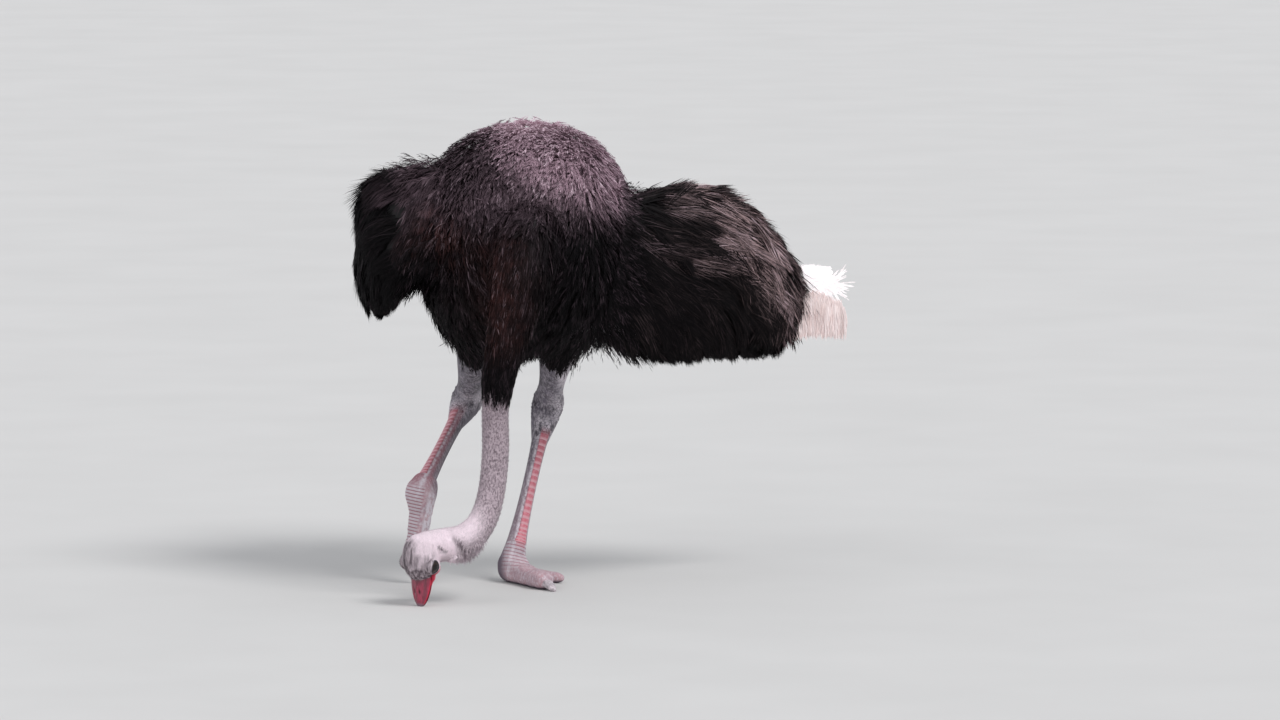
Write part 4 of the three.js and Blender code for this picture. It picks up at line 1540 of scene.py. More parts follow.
class OSTRICH_OT_neck_coat(BuildOperator, bpy.types.Operator):
    """Black cone of feathers that hangs over the root of the neck"""

    bl_idname = "ostrich.neck_coat"
    bl_label = "Neck cone"

    def execute(self, context):
        sizes, colours = settings(context)
        envelope = Envelope("trunk", "neck_base", "neck_lower")
        rng = np.random.default_rng(sizes.seed + 1)
        material = plumage_material("Neck feathers", colours, 0.7)

        def cone(place):
            return neck_part(place) * ramp(650, 680, place[:, 2])

        feathers = Planting(Hide(sizes.density), 3200, cone, NECK, rng, 9)
        count, low = feathers.count, ramp(780, 680, feathers.place[:, 2])
        ragged = rng.uniform(0.55, 1.25, len(feathers.leaders))[feathers.lock]
        length = rng.uniform(0.1, 0.16, count) * (1 - 0.35 * low) * (1 + (ragged - 1) * low)
        layer = rng.uniform(0.5, 1.0, count) * (1 - 0.35 * low)
        shaft, facing = feathers.lay(length, neck_lie, layer, envelope, 0.4, 0.08, 0.006, hang=0.1)
        feathers.coat(
            "coat_neck", material, sizes.barb_width, shaft, facing, (12, 0.5, 0.06), feathers.tone(),
            start=(0.1, 0.9), spread=0.2, hang=0.15, lift=0.06,
        )
        return {"FINISHED"}


LEFT_WING_BEND = 560  # x where the left wing's coat is split in two pieces
FRINGE = 150  # feathers that hang free of the left hand


class OSTRICH_OT_wing_coats(BuildOperator, bpy.types.Operator):
    """Long drooping plumes of both wings"""

    bl_idname = "ostrich.wing_coats"
    bl_label = "Wing plumes"

    def execute(self, context):
        sizes, colours = settings(context)
        hide = Hide(sizes.density)
        rng = np.random.default_rng(sizes.seed + 2)
        material = plumage_material("Wing plumes", colours, 0.8)

        def inner(place):
            return left_part(place) * (place[:, 0] < LEFT_WING_BEND)

        def outer(place):
            return left_part(place) * (place[:, 0] >= LEFT_WING_BEND)

        left, right = Envelope("wing_left", "trunk"), Envelope("wing_right", "trunk")
        for name, arm, envelope, lie, where, count, scale in (
            ("coat_wing_left_inner", LEFT_ARM, left, left_wing_lie, inner, 3300, 1.0),
            ("coat_wing_left_outer", LEFT_ARM, left, left_wing_lie, outer, 3600, 1.0),
            ("coat_wing_right", RIGHT_ARM, right, right_wing_lie, right_part, 2900, 0.85),
        ):
            feathers = Planting(hide, count, where, arm, rng, 22)
            lock, number, planted = feathers.lock, len(feathers.leaders), feathers.count
            x, _, z = feathers.place.T
            length = rng.uniform(0.14, 0.25, number)[lock] * rng.uniform(0.8, 1.1, planted) * scale
            layer = (1 - 0.65 * rng.random(number) ** 1.2)[lock] * rng.uniform(0.86, 1.0, planted)
            layer = layer * (1 - 0.75 * ramp(-300, -370, x) * ramp(1000, 1080, z))
            end = ramp(690, 790, x) * ramp(880, 800, z)
            length, layer = length * (1 - 0.45 * end), layer * (1 - 0.5 * end)
            stray = feathers.stray(0.24, 0.06)
            shaft, facing = feathers.lay(length, lie, layer, envelope, 0.66, stray, 0.007, most=0.12)
            x, _, z = layout(shaft[:, -1]).T
            edge = x - (596 + (1200 - z) * 0.52)
            bleached = (0.1 + ramp(-70, 60, edge)) * rng.uniform(0.2, 1.1, number)[lock]
            dark = 0.5 * ramp(1010, 880, z) * ramp(60, -60, edge)
            if arm is RIGHT_ARM:
                bleached, dark = 0.0, 0.25
            feathers.coat(
                name, material, sizes.barb_width * 1.1, shaft, facing, (13, 0.6, 0.11),
                feathers.tone() * (1 - dark), bleached, start=(0.1, 0.95), spread=0.2, hang=0.16, lift=0.05,
            )
        share = rng.random(FRINGE)
        root = np.stack([790 + 62 * share, 640 + 70 * share, 915 - 100 * rng.random(FRINGE) - 10 * share], 1)
        reach = rng.uniform(60, 125, FRINGE)[:, None]
        out = np.array((0.42, 0.12, 0.0)) + rng.normal(0, 0.1, (FRINGE, 3))
        shaft = [root + reach * (out * part + GRAVITY * part**1.5) for part in (0, 0.35, 0.7, 1)]
        shaft = metres(np.stack(shaft, 1))
        marks = marks_at(layout(shaft[:, 0]), 0.35 * rng.random(FRINGE))
        facing = np.broadcast_to((0.3, -0.9, 0.1), shaft.shape)
        fuzz = feather_set(
            shaft, facing, unwrapped(root, LEFT_ARM), marks, 26, 0.45, 0.05, sizes.barb_width, rng,
            start=(0.1, 0.98), spread=0.4, hang=0.5, lift=0.1,
        )
        coat_piece("coat_wing_fringe", [fuzz], material, "feathers_black", PLUMAGE_VALUES)
        return {"FINISHED"}


TAIL_ROOT = 780  # from the breast along the trunk
TAIL_BARBS = 420  # on each plume
# along a plume: spread to the side, share of its length, height, arch of the fan's middle, share it falls
TAIL_PATH = (
    (55, 0, 1172, 12, 0), (105, 0.42, 1196, 36, 0), (155, 0.72, 1196, 40, 0.12),
    (190, 0.9, 1172, 38, 0.38), (205, 0.95, 1160, 38, 0.66),
)


class OSTRICH_OT_tail_coat(BuildOperator, bpy.types.Operator):
    """Fan of drooping tail plumes"""

    bl_idname = "ostrich.tail_coat"
    bl_label = "Tail plumes"

    def execute(self, context):
        sizes, colours = settings(context)
        rng = np.random.default_rng(sizes.seed + 3)
        material, n = new_material("Tail plumes", 0.6, 0.3)
        streak = n.blend(n.value("tone"), dimmed(colours.tail, 0.55), colours.tail)
        shadow = n.blend(n.span(n.value("along"), 0, 0.35), (0.05, 0.04, 0.04), streak)
        n.feed("Base Color", shadow)
        shafts, unwrap = [], []
        for _ in range(int(44 * max(sizes.density, 0.3))):
            spread = rng.uniform(-1, 1)
            lift = 1 - spread * spread
            reach = 350 * (0.8 + 0.2 * lift) * rng.uniform(0.8, 1.0)
            drop = rng.uniform(-34, 20)
            shafts.append(metres([
                from_trunk(spread * wide, TAIL_ROOT + reach * out, high + lift * arch + drop - reach * fall)
                for wide, out, high, arch, fall in TAIL_PATH
            ]))
            unwrap.append((0.5 + spread * 0.45, rng.uniform(0.05, 0.95)))
        shafts, unwrap = np.array(shafts), np.array(unwrap)
        ahead = unit(np.gradient(shafts, axis=1))
        facing = unit(np.cross(np.broadcast_to((1.0, 0, 0), ahead.shape), ahead))
        fuzz = feather_set(
            shafts, facing, unwrap, {}, TAIL_BARBS, 1.0, 0.075, sizes.barb_width, rng,
            start=(0.05, 1.0), spread=0.95, hang=0.45, curl=0.7, lift=0.12,
        )
        coat_piece("coat_tail", [fuzz], material, "feathers_tail", ("along", "tone"))
        return {"FINISHED"}


WHITE_GLOW = 0.24  # painted glow: emission that brightens the white vanes, far less on the hanging barbs


def white_material(colours):
    material, n = new_material("White flight feathers", 0.55, 0.3)
    streak = n.span(n.value("tone"), 0, 0.7, 0.25, 0)
    white = n.blend(streak, colours.white, colours.buff)
    buff = n.blend(n.span(n.value("tone"), 0.2, 0.9), dimmed(colours.buff, 0.62), colours.buff)
    # the hanging barbs: partly their own buff, partly painted shade on the underside of the plumes
    n.feed("Base Color", n.blend(n.value("low"), white, buff))
    # painted glow, dimmer on the hanging barbs under the vanes
    n.feed("Emission Color", n.blend(n.value("low"), (1, 1, 1), (0.3, 0.25, 0.25)))
    n.feed("Emission Strength", WHITE_GLOW)
    return material


# out from the hand and up: the root, the bend and the end of each shaft
WHITE_VANES = (
    ((10, 58), (80, 72), (146, 78)),
    ((12, 46), (84, 60), (152, 64)),
    ((14, 34), (88, 48), (160, 50)),
    ((16, 22), (92, 35), (168, 34)),
    ((20, 10), (96, 22), (176, 14)),
)
WHITE_CURTAIN = (
    ((34, 6), (110, 18), (190, -14)),
    ((32, 0), (105, 14), (198, -34)),
    ((30, -8), (95, 8), (176, -30)),
    ((28, -14), (80, -2), (150, -26)),
)


# where each hand is, the way along it, the barbs of a vane and the strands of a curtain
HANDS = {
    "left": ((850, 708, 850), (0.94, 0.34), 1000, 620),
    "right": ((-352, 830, 990), (0.08, 1.0), 700, 400),
}
CURTAIN_POINTS = 80  # along each shaft, where a strand may hang
SPIKES = 60


class OSTRICH_OT_white_plumes(BuildOperator, bpy.types.Operator):
    """White flight feathers at the end of each wing"""

    bl_idname = "ostrich.white_plumes"
    bl_label = "White flight feathers"

    def execute(self, context):
        sizes, colours = settings(context)
        rng = np.random.default_rng(sizes.seed + 4)
        material = white_material(colours)
        for side, (hand, out, vane_barbs, strands) in HANDS.items():
            def placed(spots):
                along, up = np.moveaxis(np.array(spots, float), -1, 0)
                return np.stack([hand[0] + out[0] * along, hand[1] + out[1] * along, hand[2] + up], -1)

            outward = np.array((out[1], -out[0], 0.0))
            sets = []

            def plumes(shafts, spot, low, *barb_sizes, **shape):
                facing = np.broadcast_to(outward, shafts.shape)
                sets.append(feather_set(shafts, facing, spot, {"low": low}, *barb_sizes, rng, **shape))

            spots = curve_rows(placed(WHITE_VANES), 6)
            shafts = metres(spots - np.linspace(0, 14, len(spots))[:, None, None] * outward)
            spot = np.stack([np.linspace(0.1, 0.9, len(spots)), np.full(len(spots), 0.3)], 1)
            plumes(
                shafts, spot, np.zeros(len(spots)), vane_barbs, 1.0, 0.042, sizes.barb_width * 2,
                roll=0.1, start=(0.0, 1.0), spread=0.75, hang=0.0, curl=0.3, lift=0.05, points=4,
            )
            rows = curve_rows(placed(WHITE_CURTAIN), CURTAIN_POINTS)
            line = rng.integers(0, len(rows), strands)
            root = rows[line, rng.integers(0, CURTAIN_POINTS, strands)] + line[:, None] * outward * 4
            fall = rng.uniform(104, 132, strands)[:, None] - 0.7 * (rows[0, 0, 2] - root[:, 2:])
            bow = outward * 6 + rng.normal(0, 4, (strands, 3))
            hung = [root + GRAVITY * fall * part + bow * part * (1.6 - part) for part in (0, 0.3, 0.65, 1)]
            spot = np.stack([rng.random(strands), np.full(strands, 0.7)], 1)
            low = rng.uniform(0.6, 1, strands)
            plumes(
                metres(np.stack(hung, 1)), spot, low, 14, 0.4, 0.04, sizes.barb_width,
                start=(0.0, 0.9), spread=0.16, hang=0.3, curl=0.2, lift=0.1,
            )
            turn = np.radians(rng.uniform(-62, 58, SPIKES))
            root = placed(np.stack([rng.uniform(130, 172, SPIKES), 32 + 16 * np.sin(turn)], 1))
            long = rng.uniform(26, 66, SPIKES)[:, None]
            way = np.cos(turn)[:, None] * np.array((*out, 0.0)) - np.sin(turn)[:, None] * GRAVITY
            spikes = [root + way * long * part + GRAVITY * 5 * part**2 for part in (0, 0.5, 1)]
            spot = np.stack([rng.random(SPIKES), np.full(SPIKES, 0.85)], 1)
            plumes(
                metres(np.stack(spikes, 1)), spot, rng.uniform(0, 0.3, SPIKES), 26, 0.3, 0.014,
                sizes.barb_width * 0.8, start=(0.0, 0.98), spread=0.3, hang=0.0, lift=0.2, points=4,
            )
            coat_piece(
                f"white_plumes_{side}", sets, material, "feathers_white", ("along", "tone", "low"), 0.85,
                (f"primaries_{side}",),
            )
        return {"FINISHED"}


def down_material(colours):
    material, n = new_material("Down", 0.75, 0.12)
    tint = use_group(n, down_group(colours), Speckle=0.75)
    shade = n.span(n.value("tone"), 0, 1, 0.74, 1.2)
    n.feed("Base Color", n.blend(1, tint.outputs["Color"], n.grey(shade), "MULTIPLY"))
    n.feed("Sheen Weight", 0.3)
    n.feed("Sheen Roughness", 0.5)
    return material


# the edge of the mouth in the head's frame, back from the bill, and the half width and depth of its strip
GAPE = (
    (84, 38.5, -16), (74, 41.5, -16.5), (64, 45.5, -18), (54, 50, -20),
    (44, 53, -22), (35, 56, -25), (25, 58, -29),
)
GAPE_SIZES = ((2, 1.6), (4, 3), (6.2, 4.4), (7.6, 5.2), (7.6, 5.0), (6, 3.8), (1.5, 1))
DOWN_VALUES = ("along", "tone", "cream", "smoke")


def bare_face(head):
    """1 where feathers grow on the head, 0 at the bill, the corners of the mouth and the lids."""
    x, side, crown = head[:, 0], np.abs(head[:, 1]), head[:, 2] - MOUTH_LINE
    stations, *shape = np.array(BILL_SHAPE, float).T
    half, high, deep = (np.interp(x, stations, sizes) for sizes in shape)
    in_bill = ((side / half) ** 2 + (crown / np.where(crown > 0, high, deep)) ** 2 < 0.97) & (x > 44)
    grown = np.where(in_bill, 0.0, 1.0)
    for spot in curve(np.array(GAPE, float), np.linspace(0, 1, 16)):
        grown *= ramp(7, 9.5, np.linalg.norm(np.stack([x, side, head[:, 2]], 1) - spot, axis=1))
    for sign in (1, -1):
        past, _, _, _, far = past_lids(head, sign)
        grown *= np.where(far < 60, ramp(13, 19, past), 1)
    return grown


class OSTRICH_OT_down(BuildOperator, bpy.types.Operator):
    """Short hair-like down of the neck and head"""

    bl_idname = "ostrich.down"
    bl_label = "Down"

    def execute(self, context):
        sizes, colours = settings(context)
        hide = Hide(sizes.density)
        rng = np.random.default_rng(sizes.seed + 5)
        material = down_material(colours)

        def near_head(place):
            return ramp(96, 84, from_head(place))

        def neck(place):
            return (1 - near_head(place)) * (place[:, 1] < 170) * ramp(640, 600, place[:, 2])

        def face(place):
            return near_head(place) * bare_face(HEAD.inward(place))

        def piece(name, place, shaft, facing, unwrap, *barb_sizes, **shape):
            masks = markings(place)
            marks = {key: masks[key] for key in ("cream", "smoke")}
            fuzz = feather_set(shaft, facing, unwrap, marks, *barb_sizes, rng, **shape)
            coat_piece(name, [fuzz], material, "neck_down", DOWN_VALUES, 0.8)

        for name, where, count, reach, width in (
            ("down_neck", neck, 13000, 0.0105, 0.0006),
            ("down_head", face, 11500, 0.0075, 0.0005),
        ):
            roots, normals, unwrap = hide.plant(count, where, NECK, rng)
            place = layout(roots)
            ahead, across, up = HEAD.inward(place).T
            near = ramp(190, 90, from_head(place))
            forward = (near * (1 - 2 * (ramp(58, 72, ahead) * ramp(-8, 0, up))))[:, None]
            way = -HEAD.axes[0] * forward - (1 - near)[:, None] * beside(place, NECK)[2]
            edge = ramp(48, 62, ahead) * ramp(-8, 2, up) * ramp(34, 14, np.abs(across)) * near
            length = reach * rng.uniform(0.7, 1.3, len(roots)) * (1 - 0.4 * (ramp(30, 60, ahead) * near))
            length = length * (1 + 1.1 * edge)
            rise = length * rng.uniform(0.02, 0.14, len(roots))
            shaft, facing = hide.stand(roots, normals, length, way, rise, rng, 0.17)
            piece(
                name, place, shaft, facing, unwrap, 3, 0.9, 0.02, width,
                roll=0.15, start=(0.0, 0.4), spread=0.3, hang=0.0, lift=0.1,
            )

        def underside(place):
            low = np.interp(place[:, 0], (-212, -98, -48, -20), (152, 166, 212, 270))
            clear = ramp(86, 92, from_head(place))
            return clear * ramp(-25, -70, place[:, 0]) * ramp(low, low - 14, place[:, 2])

        roots, normals, unwrap = hide.plant(1700, underside, NECK, rng)
        place, count = layout(roots), len(roots)
        fall = (5 + rng.uniform(0.2, 1, count) * 20 * bell(place[:, 0] + 84, 48))[:, None]
        lean = rng.normal(0, 0.22, (count, 3)) + np.array((0.1, 0, 0))
        lit = unit(normals + np.array((0, -1.0, 1.1)))
        shaft = metres(np.stack([place + fall * (lean * part + GRAVITY * part) for part in (0, 0.5, 1)], 1))
        piece(
            "down_throat", place, shaft, np.stack([lit] * 3, 1), unwrap, 5, 0.7, 0.02, 0.0007,
            roll=0.2, start=(0.0, 0.6), spread=0.35, hang=0.1, lift=0.2,
        )
        return {"FINISHED"}


def smooth_shell(name, grid):
    points, faces = shell(grid)
    obj = mesh_object(name, metres(points), faces)
    shade_smooth(obj.data)
    return obj


def mouth_gap(x):
    """How far the lower half of the bill stands off the upper half."""
    return np.interp(x, (40, 55, 80, 130, 148, 153), (0.5, 1.2, 3.2, 3.8, 2.6, 1.4))


def bill_half(name, side):
    """One half of the bill as a closed shell with a flat inner side."""
    shape = np.array(BILL_SHAPE, float)
    along = np.linspace(0, 1, 91)
    size = np.maximum(curve(shape, along), (0, 0.6, 0.6, 0.6))
    x, wide = size[:, 0], size[:, 1]
    line, thick = np.full(len(x), MOUTH_LINE + 0.6), size[:, 2]
    if side < 0:
        line, thick = MOUTH_LINE - 0.6 - mouth_gap(x), np.maximum(size[:, 3] - mouth_gap(x), 1.2)
        wide = wide * 0.97
    turns = np.linspace(0, math.pi, 45)
    over = np.stack([np.cos(turns), np.sin(turns)], 1)
    outline = np.sign(over) * np.abs(over) ** np.array((0.85, 0.95))
    flat = np.linspace(-0.94, 0.94, 15)[:, None] * np.array((1.0, 0.0)) + np.array((0, 0.03))
    outline = np.vstack([outline, flat])
    grid = np.zeros((len(along), len(outline), 3))
    grid[..., 0] = x[:, None]
    grid[..., 1] = outline[None, :, 0] * wide[:, None]
    grid[..., 2] = line[:, None] + side * outline[None, :, 1] * thick[:, None]
    if side < 0:
        grid = grid[:, ::-1]
    return smooth_shell(name, HEAD.outward(grid))


class OSTRICH_OT_bill(BuildOperator, bpy.types.Operator):
    """Upper and lower halves of the bill, with the corners of the mouth"""

    bl_idname = "ostrich.bill"
    bl_label = "Bill"

    def execute(self, context):
        _, colours = settings(context)
        hide = Hide()
        widths = np.array(BILL_SHAPE, float)
        for name, side, node in (("horn_upper", 1, "bill_upper"), ("horn_lower", -1, "bill_lower")):
            obj = bill_half(name, side)
            points = HEAD.inward(layout(points_of(obj.data)))
            x, y = points[:, 0], np.abs(points[:, 1])
            half = np.interp(x, widths[:, 0], widths[:, 1])
            ridge = bell(points[:, 1], 6) * ramp(150, 138, x)
            line = MOUTH_LINE - (0 if side > 0 else mouth_gap(x))
            off_line = np.abs(points[:, 2] - line)
            top = ramp(1.5, 5, off_line)
            # the nostril is a shallow dent, painted nearly black as painted shade of its opening
            nostril = np.exp(-(((y - 10) / 2.4) ** 2) - ((x - 108) / 6) ** 2) * (side > 0) * top
            groove = bell(y - 10 - 0.06 * (x - 80), 3) * ramp(92, 100, x) * ramp(142, 128, x) * top
            nail = np.exp(-((points[:, 1] / 9) ** 4)) * ramp(126, 136, x) * top
            rim = bell(half - y, 3) * ramp(6, 1, off_line)
            points[:, 2] += side * (ridge * top * 1.8 + nail * 1.4 - nostril * 4 - groove * 1.0)
            points[:, 1] += np.sign(points[:, 1]) * rim * 0.8
            on_floor(obj.data, metres(HEAD.outward(points)))
            for value, mask in (
                ("tip", ramp(138, 150, x)),
                ("nostril", np.clip(nostril * 1.4, 0, 1)),
                ("edge", np.clip(rim * (1.3 if side > 0 else 0.4), 0, 1)),
                ("inside", ramp(2.2, 0.8, off_line) * ramp(1, 2.5, half - y)),
                ("root", ramp(84, 58, x) * ramp(30, 20, y)),
            ):
                set_values(obj.data, value, mask)
            material, n = new_material(f"Bill {name[5:]}", 0.4, 0.45)
            base = colours.bill if side > 0 else colours.mandible
            grain = n.noise(n.stretch(n.place(), (1, 1, 0.2)), 260, 3)
            cloud = n.span(n.noise(n.stretch(n.place(), (1, 1, 0.35)), 60, 3), 0.4, 0.62, 0, 0.6)
            paint = n.blend(cloud, base, dimmed(colours.smoke, 0.55))
            paint = n.blend(n.span(grain, 0.35, 0.7, 0.0, 0.6), paint, dimmed(base, 0.35))
            paint = n.blend(n.times(n.value("root"), 0.85), paint, dimmed(colours.smoke, 0.8))
            paint = n.layers(paint, edge=colours.gape, tip=colours.nail)
            # nostril: painted shade; inside: partly the mouth's dark red, partly painted shade in the gap
            # between the halves
            paint = n.layers(paint, nostril=(0.05, 0.004, 0.01), inside=(0.16, 0.006, 0.02))
            n.feed("Base Color", paint)
            n.feed("Normal", n.bump(grain, 0.3, 0.0006))
            obj.data.materials.append(material)
            finish_piece(obj, "bill_horn", node)
        material, n = new_material("Corner of the mouth", 0.45, 0.45)
        grain = n.noise(n.place(), 300, 2)
        red = n.blend(grain, dimmed(colours.gape, 0.6), colours.gape)
        n.feed("Base Color", n.blend(n.value("low"), red, colours.mandible))
        for side, sign in (("left", 1), ("right", -1)):
            path = np.array(GAPE, float)
            path[:, 1] *= sign
            on_skin, normal = hide.nearest(metres(HEAD.outward(path[3:])))
            path[3:] = HEAD.inward(layout(on_skin + normal * 0.0015))
            stations = [(*spot, *size) for spot, size in zip(path, GAPE_SIZES)]
            strip = smooth_shell(f"gape_{side}", HEAD.outward(rings(stations, (0, 0, 1), 36, 18)))
            spots = HEAD.inward(layout(points_of(strip.data)))
            middle = np.interp(-spots[:, 0], -path[:, 0], path[:, 2])
            set_values(strip.data, "low", ramp(1.5, -2.5, spots[:, 2] - middle))
            strip.data.materials.append(material)
            finish_piece(strip, "bill_horn")
        return {"FINISHED"}


LASHES = 46
LASH_WIDTH = 0.0006  # metres


class OSTRICH_OT_eyes(BuildOperator, bpy.types.Operator):
    """Dark glossy eyes and their lashes"""

    bl_idname = "ostrich.eyes"
    bl_label = "Eyes"

    def execute(self, context):
        sizes, colours = settings(context)
        rng = np.random.default_rng(sizes.seed + 6)
        material, n = new_material("Eye", 0.1, 0.3)
        fibres = n.noise(n.place(), 700, 2)
        iris = n.blend(n.span(fibres, 0.3, 0.7), dimmed(colours.iris, 0.4), dimmed(colours.iris, 0.8))
        paint = n.blend(n.span(n.value("gaze"), 23, 25), (0.002, 0.002, 0.003), iris)
        paint = n.blend(n.span(n.value("gaze"), 36, 40), paint, (0.02, 0.012, 0.012))
        n.feed("Base Color", paint)
        n.feed("Coat Weight", 0.3)
        n.feed("Coat Roughness", 0.02)
        lash_material, n = new_material("Lashes", 0.5, 0.3)
        n.feed("Base Color", n.blend(n.value("along"), (0.006, 0.005, 0.006), (0.03, 0.02, 0.02)))
        for side, sign in (("left", 1), ("right", -1)):
            ball = bmesh.new()
            bmesh.ops.create_uvsphere(ball, u_segments=64, v_segments=40, radius=1.0)
            mesh = bpy.data.meshes.new(f"eyeball_{side}")
            ball.to_mesh(mesh)
            ball.free()
            way = points_of(mesh)
            centre, axis, ahead, above = eye_frame(sign)
            angle = np.degrees(np.arccos(np.clip(way @ axis, -1, 1)))
            radius = EYE_RADIUS - 0.2 + 1.1 * ramp(34, 12, angle)
            set_points(mesh, metres(HEAD.outward(centre + way * radius[:, None])))
            set_values(mesh, "gaze", angle)
            shade_smooth(mesh)
            mesh.materials.append(material)
            finish_piece(new_object(f"eyeball_{side}", mesh), "eye", f"eye_{side}")
            turn = np.radians(np.linspace(22, 158, LASHES) + rng.normal(0, 1.5, LASHES))
            across, over = np.cos(turn)[:, None], np.sin(turn)[:, None]
            flat = across * ahead + over * above
            corner, upper, _ = EYE_OPENING
            edge = np.radians(1 / np.sqrt((across / corner) ** 2 + (over / upper) ** 2) + 3)
            root = centre + (axis * np.cos(edge) + flat * np.sin(edge)) * (EYE_RADIUS + 2)
            reach = rng.uniform(5, 8.5, LASHES)[:, None] * over**0.7
            out = unit(axis * 0.9 + flat * 0.35)
            parts = (0, 0.4, 0.75, 1)
            path = [root + out * reach * part + above * reach * 0.5 * part**2 for part in parts]
            path = metres(HEAD.outward(np.stack(path, 1)))
            facing = np.broadcast_to((HEAD.outward(flat) - HEAD.outward(np.zeros(3)))[:, None], path.shape)
            points, quads, tip = ribbons(path, unit(facing), np.full(LASHES, LASH_WIDTH), rng, roll=0.2)
            along = np.tile(np.repeat(parts, 2)[:-1], (LASHES, 1))
            row = np.broadcast_to(np.arange(LASHES)[:, None] / LASHES, along.shape)
            spot = np.stack([row, 0.5 + along * TUFT], 2)
            ways = np.broadcast_to(unit(facing)[:, :1], points.shape)
            lashes = (points, quads, tip, spot, {"along": along}, ways)
            coat_piece(f"lashes_{side}", [lashes], lash_material, "feathers_black", ("along",))
        return {"FINISHED"}


def scute_plates(side):
    """Overlapping plates down the front of a shank, shorter towards the ankle."""
    leg = LEGS[side]
    stations = np.array(shank_stations(leg), float)
    joint, ankle = np.array(leg["hock"], float), np.array(leg["ankle"], float)
    axis = unit(ankle - joint)
    front = np.array(SHANK_FRONT[side])
    front = unit(front - (front @ axis) * axis)
    aside = np.cross(axis, front)
    across = unit(np.array((1.0, 0, 0)) - axis[0] * axis)
    over = np.cross(axis, across)
    length = np.linalg.norm(ankle - joint)
    points, faces, marks = [], [], []
    rows, columns = 5, 9
    size_of = rows * columns
    share = 0.2
    while share < 0.9:
        tall = (19 - 12 * ramp(0.72, 0.92, np.array(share))) / length
        half_turn = math.radians(30 + 18 * ramp(0.8, 0.95, np.array(share)))
        start = len(points)
        for layer in (0, 1):
            for row in range(rows):
                down = row / (rows - 1)
                along = share + tall * 1.12 * down
                station = (np.clip(along, 0.1, 1.0) - 0.1) / 0.9
                station = np.interp(station, (0, 0.222, 0.555, 0.833, 1), np.linspace(0, 1, 5))
                size = curve(stations[:, 3:], np.array([station]))[0]
                middle = joint + (ankle - joint) * along
                for column in range(columns):
                    turn = (column / (columns - 1) * 2 - 1) * half_turn * (1 - 0.12 * down**4)
                    way = front * math.cos(turn) + aside * math.sin(turn)
                    radius = 1 / math.hypot((way @ across) / size[0], (way @ over) / size[1])
                    edge = 1 - abs(column / (columns - 1) * 2 - 1) ** 4
                    crest = math.sin(math.pi * min(down * 1.02, 1)) ** 0.6 * edge
                    height = -1.5 if layer else 0.3 + 1.9 * crest * (0.5 + 0.5 * down)
                    points.append(middle + way * (radius + height))
                    marks.append(down)

        def spot(layer, row, column, start=start):
            return start + layer * size_of + row * columns + column

        for row in range(rows - 1):
            for column in range(columns - 1):
                a, b = spot(0, row, column), spot(0, row, column + 1)
                c, d = spot(0, row + 1, column + 1), spot(0, row + 1, column)
                faces.append((a, b, c, d))
                faces.append(tuple(size_of + corner for corner in (d, c, b, a)))
        loop = [(0, column) for column in range(columns)]
        loop += [(row, columns - 1) for row in range(1, rows)]
        loop += [(rows - 1, column) for column in range(columns - 2, -1, -1)]
        loop += [(row, 0) for row in range(rows - 2, 0, -1)]
        for (r1, c1), (r2, c2) in zip(loop, loop[1:] + loop[:1]):
            faces.append((spot(0, r2, c2), spot(0, r1, c1), spot(1, r1, c1), spot(1, r2, c2)))
        share += tall
    return np.array(points), faces, np.array(marks)


class OSTRICH_OT_scutes(BuildOperator, bpy.types.Operator):
    """Red plates down the front of each shank"""

    bl_idname = "ostrich.scutes"
    bl_label = "Scutes"

    def execute(self, context):
        _, colours = settings(context)
        material, n = new_material("Scutes", 0.42, 0.5)
        grain = n.noise(n.place(), 160, 3)
        border = n.most(n.span(n.value("down"), 0.5, 0.95), n.span(n.value("down"), 0.12, 0))
        paint = n.blend(border, colours.scute, dimmed(colours.ring, 1.05))
        paint = n.blend(n.span(grain, 0.45, 0.7, 0, 0.35), paint, colours.ring)
        n.feed("Base Color", paint)
        n.feed("Normal", n.bump(grain, 0.3, 0.0008))
        for side in LEGS:
            points, faces, marks = scute_plates(side)
            obj = mesh_object(f"scutes_{side}", metres(points), faces)
            set_values(obj.data, "down", marks)
            plates = bmesh.new()
            plates.from_mesh(obj.data)
            bmesh.ops.recalc_face_normals(plates, faces=plates.faces)
            plates.to_mesh(obj.data)
            plates.free()
            shade_smooth(obj.data)
            obj.data.materials.append(material)
            finish_piece(obj, "scutes")
        return {"FINISHED"}


class OSTRICH_OT_claws(BuildOperator, bpy.types.Operator):
    """Blunt nails of the big toes"""

    bl_idname = "ostrich.claws"
    bl_label = "Claws"

    def execute(self, context):
        _, colours = settings(context)
        material, n = new_material("Claw", 0.4, 0.5)
        grain = n.noise(n.place(), 90, 4)
        paint = n.blend(n.span(grain, 0.35, 0.65), colours.claw, dimmed(colours.claw, 0.5))
        n.feed("Base Color", paint)
        n.feed("Normal", n.bump(grain, 0.4, 0.001))
        root = BIG_TOE_LENGTH - 18
        more = ((0, 23, 15, 12), (0.45, 19, 15, 12), (1, 11, 12, 9), (1.35, 4, 6, 5), (1.42, 2, 3, 3))
        stations = [(root + CLAW_LENGTH * share, 0, *size) for share, *size in more]
        for side in LEGS:
            grid = rings(stations, (0, -1, 0), 20, 20, power=2.2, far_power=3)
            obj = smooth_shell(f"nail_{side}", FOOT[side].outward(grid))
            on_floor(obj.data, points_of(obj.data))
            obj.data.materials.append(material)
            finish_piece(obj, "claw_horn", f"claw_{side}")
        return {"FINISHED"}


FLOOR_CORNERS = ((-90, -60, 0), (90, -60, 0), (90, 160, 0), (-90, 160, 0))  # metres
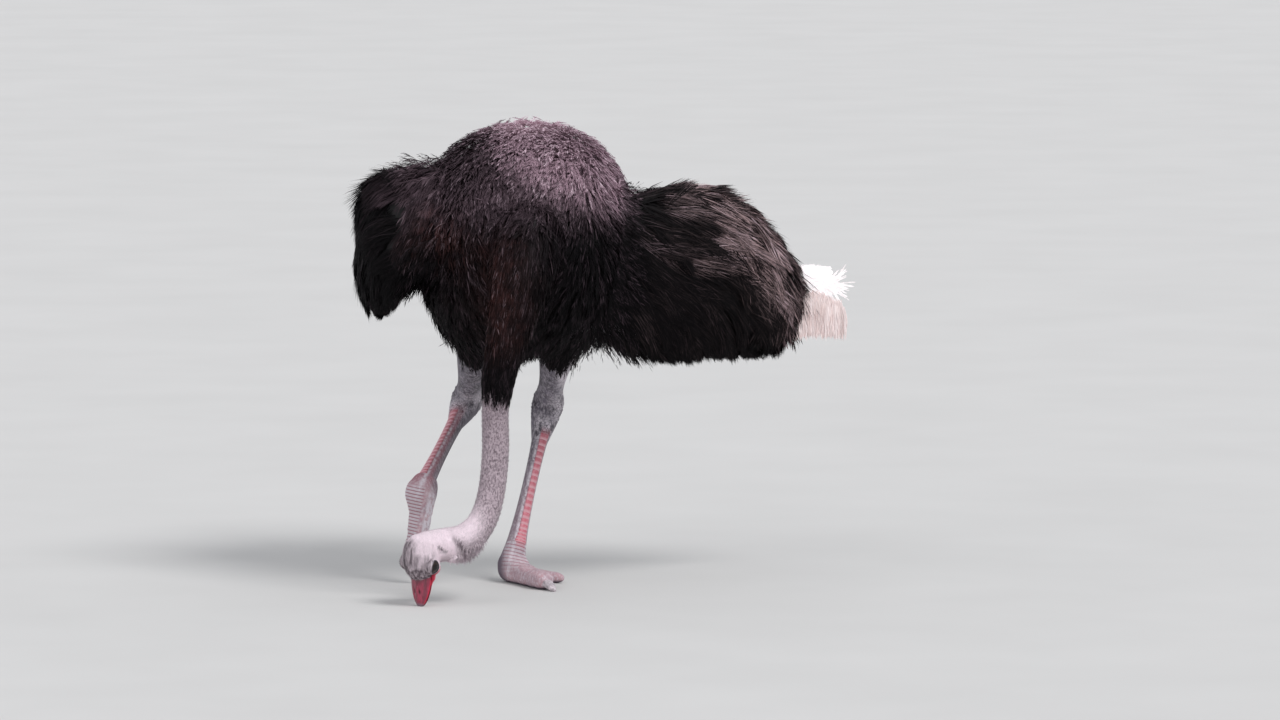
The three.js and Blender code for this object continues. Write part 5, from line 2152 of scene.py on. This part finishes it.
# name, turns in degrees, power, and degrees that each sun looks wide
LIGHTS = (("key", (42, 0, 44), 1.75, 24), ("fill", (60, 0, -40), 0.6, 60))
CAMERA_PLACE = (418, -23763, 3016)
CAMERA_AIM = (418, 400, 689)
CAMERA_ANGLE = 9.0  # degrees across the width of the view
SENSOR_WIDTH = 36


class OSTRICH_OT_stage(BuildOperator, bpy.types.Operator):
    """Pale floor, soft lights and the camera"""

    bl_idname = "ostrich.stage"
    bl_label = "Stage"

    def execute(self, context):
        scene = context.scene
        floor = mesh_object("floor", FLOOR_CORNERS, [(0, 1, 2, 3)])
        material, n = new_material("Floor", 0.85, 0.1)
        cloud = n.noise(n.place(), 1.5, 2)
        n.feed("Base Color", n.blend(cloud, (0.60, 0.59, 0.58), (0.66, 0.65, 0.64)))
        floor.data.materials.append(material)
        world = scene.world or bpy.data.worlds.new("studio")
        scene.world = world
        world.use_nodes = True
        sky = world.node_tree.nodes["Background"]
        sky.inputs["Color"].default_value = (0.92, 0.95, 1.0, 1)
        sky.inputs["Strength"].default_value = 0.62
        for name, turn, power, wide in LIGHTS:
            lamp = bpy.data.lights.new(name, "SUN")
            lamp.energy, lamp.angle = power, math.radians(wide)
            new_object(name, lamp).rotation_euler = [math.radians(angle) for angle in turn]
        lens = bpy.data.cameras.new("camera")
        lens.sensor_width = SENSOR_WIDTH
        lens.lens = SENSOR_WIDTH / 2 / math.tan(math.radians(CAMERA_ANGLE) / 2)
        lens.clip_end = 200
        camera = new_object("camera", lens)
        place, aim = Vector(metres(CAMERA_PLACE)), Vector(metres(CAMERA_AIM))
        camera.location = place
        camera.rotation_euler = (aim - place).to_track_quat("-Z", "Y").to_euler()
        scene.camera = camera
        scene.view_settings.view_transform = "Standard"
        return {"FINISHED"}


class OSTRICH_PT_panel(bpy.types.Panel):
    bl_label = "Ostrich"
    bl_idname = "OSTRICH_PT_panel"
    bl_space_type = "VIEW_3D"
    bl_region_type = "UI"
    bl_category = "Ostrich"

    def draw(self, context):
        layout_rows = self.layout
        for group in (context.scene.ostrich_sizes, context.scene.ostrich_colours):
            for name in group.__annotations__:
                layout_rows.prop(group, name)
        for step in STEPS:
            layout_rows.operator(step.bl_idname)


STEPS = (
    OSTRICH_OT_stage,
    OSTRICH_OT_skin,
    OSTRICH_OT_body_coat,
    OSTRICH_OT_neck_coat,
    OSTRICH_OT_wing_coats,
    OSTRICH_OT_tail_coat,
    OSTRICH_OT_white_plumes,
    OSTRICH_OT_down,
    OSTRICH_OT_bill,
    OSTRICH_OT_eyes,
    OSTRICH_OT_scutes,
    OSTRICH_OT_claws,
)
CLASSES = (OstrichSizes, OstrichColours, *STEPS, OSTRICH_PT_panel)


def register():
    for cls in CLASSES:
        bpy.utils.register_class(cls)
    bpy.types.Scene.ostrich_sizes = bpy.props.PointerProperty(type=OstrichSizes)
    bpy.types.Scene.ostrich_colours = bpy.props.PointerProperty(type=OstrichColours)


def unregister():
    del bpy.types.Scene.ostrich_colours
    del bpy.types.Scene.ostrich_sizes
    for cls in reversed(CLASSES):
        bpy.utils.unregister_class(cls)


def main():
    register()
    for step in STEPS:
        family, name = step.bl_idname.split(".")
        getattr(getattr(bpy.ops, family), name)()


if __name__ == "__main__":
    main()
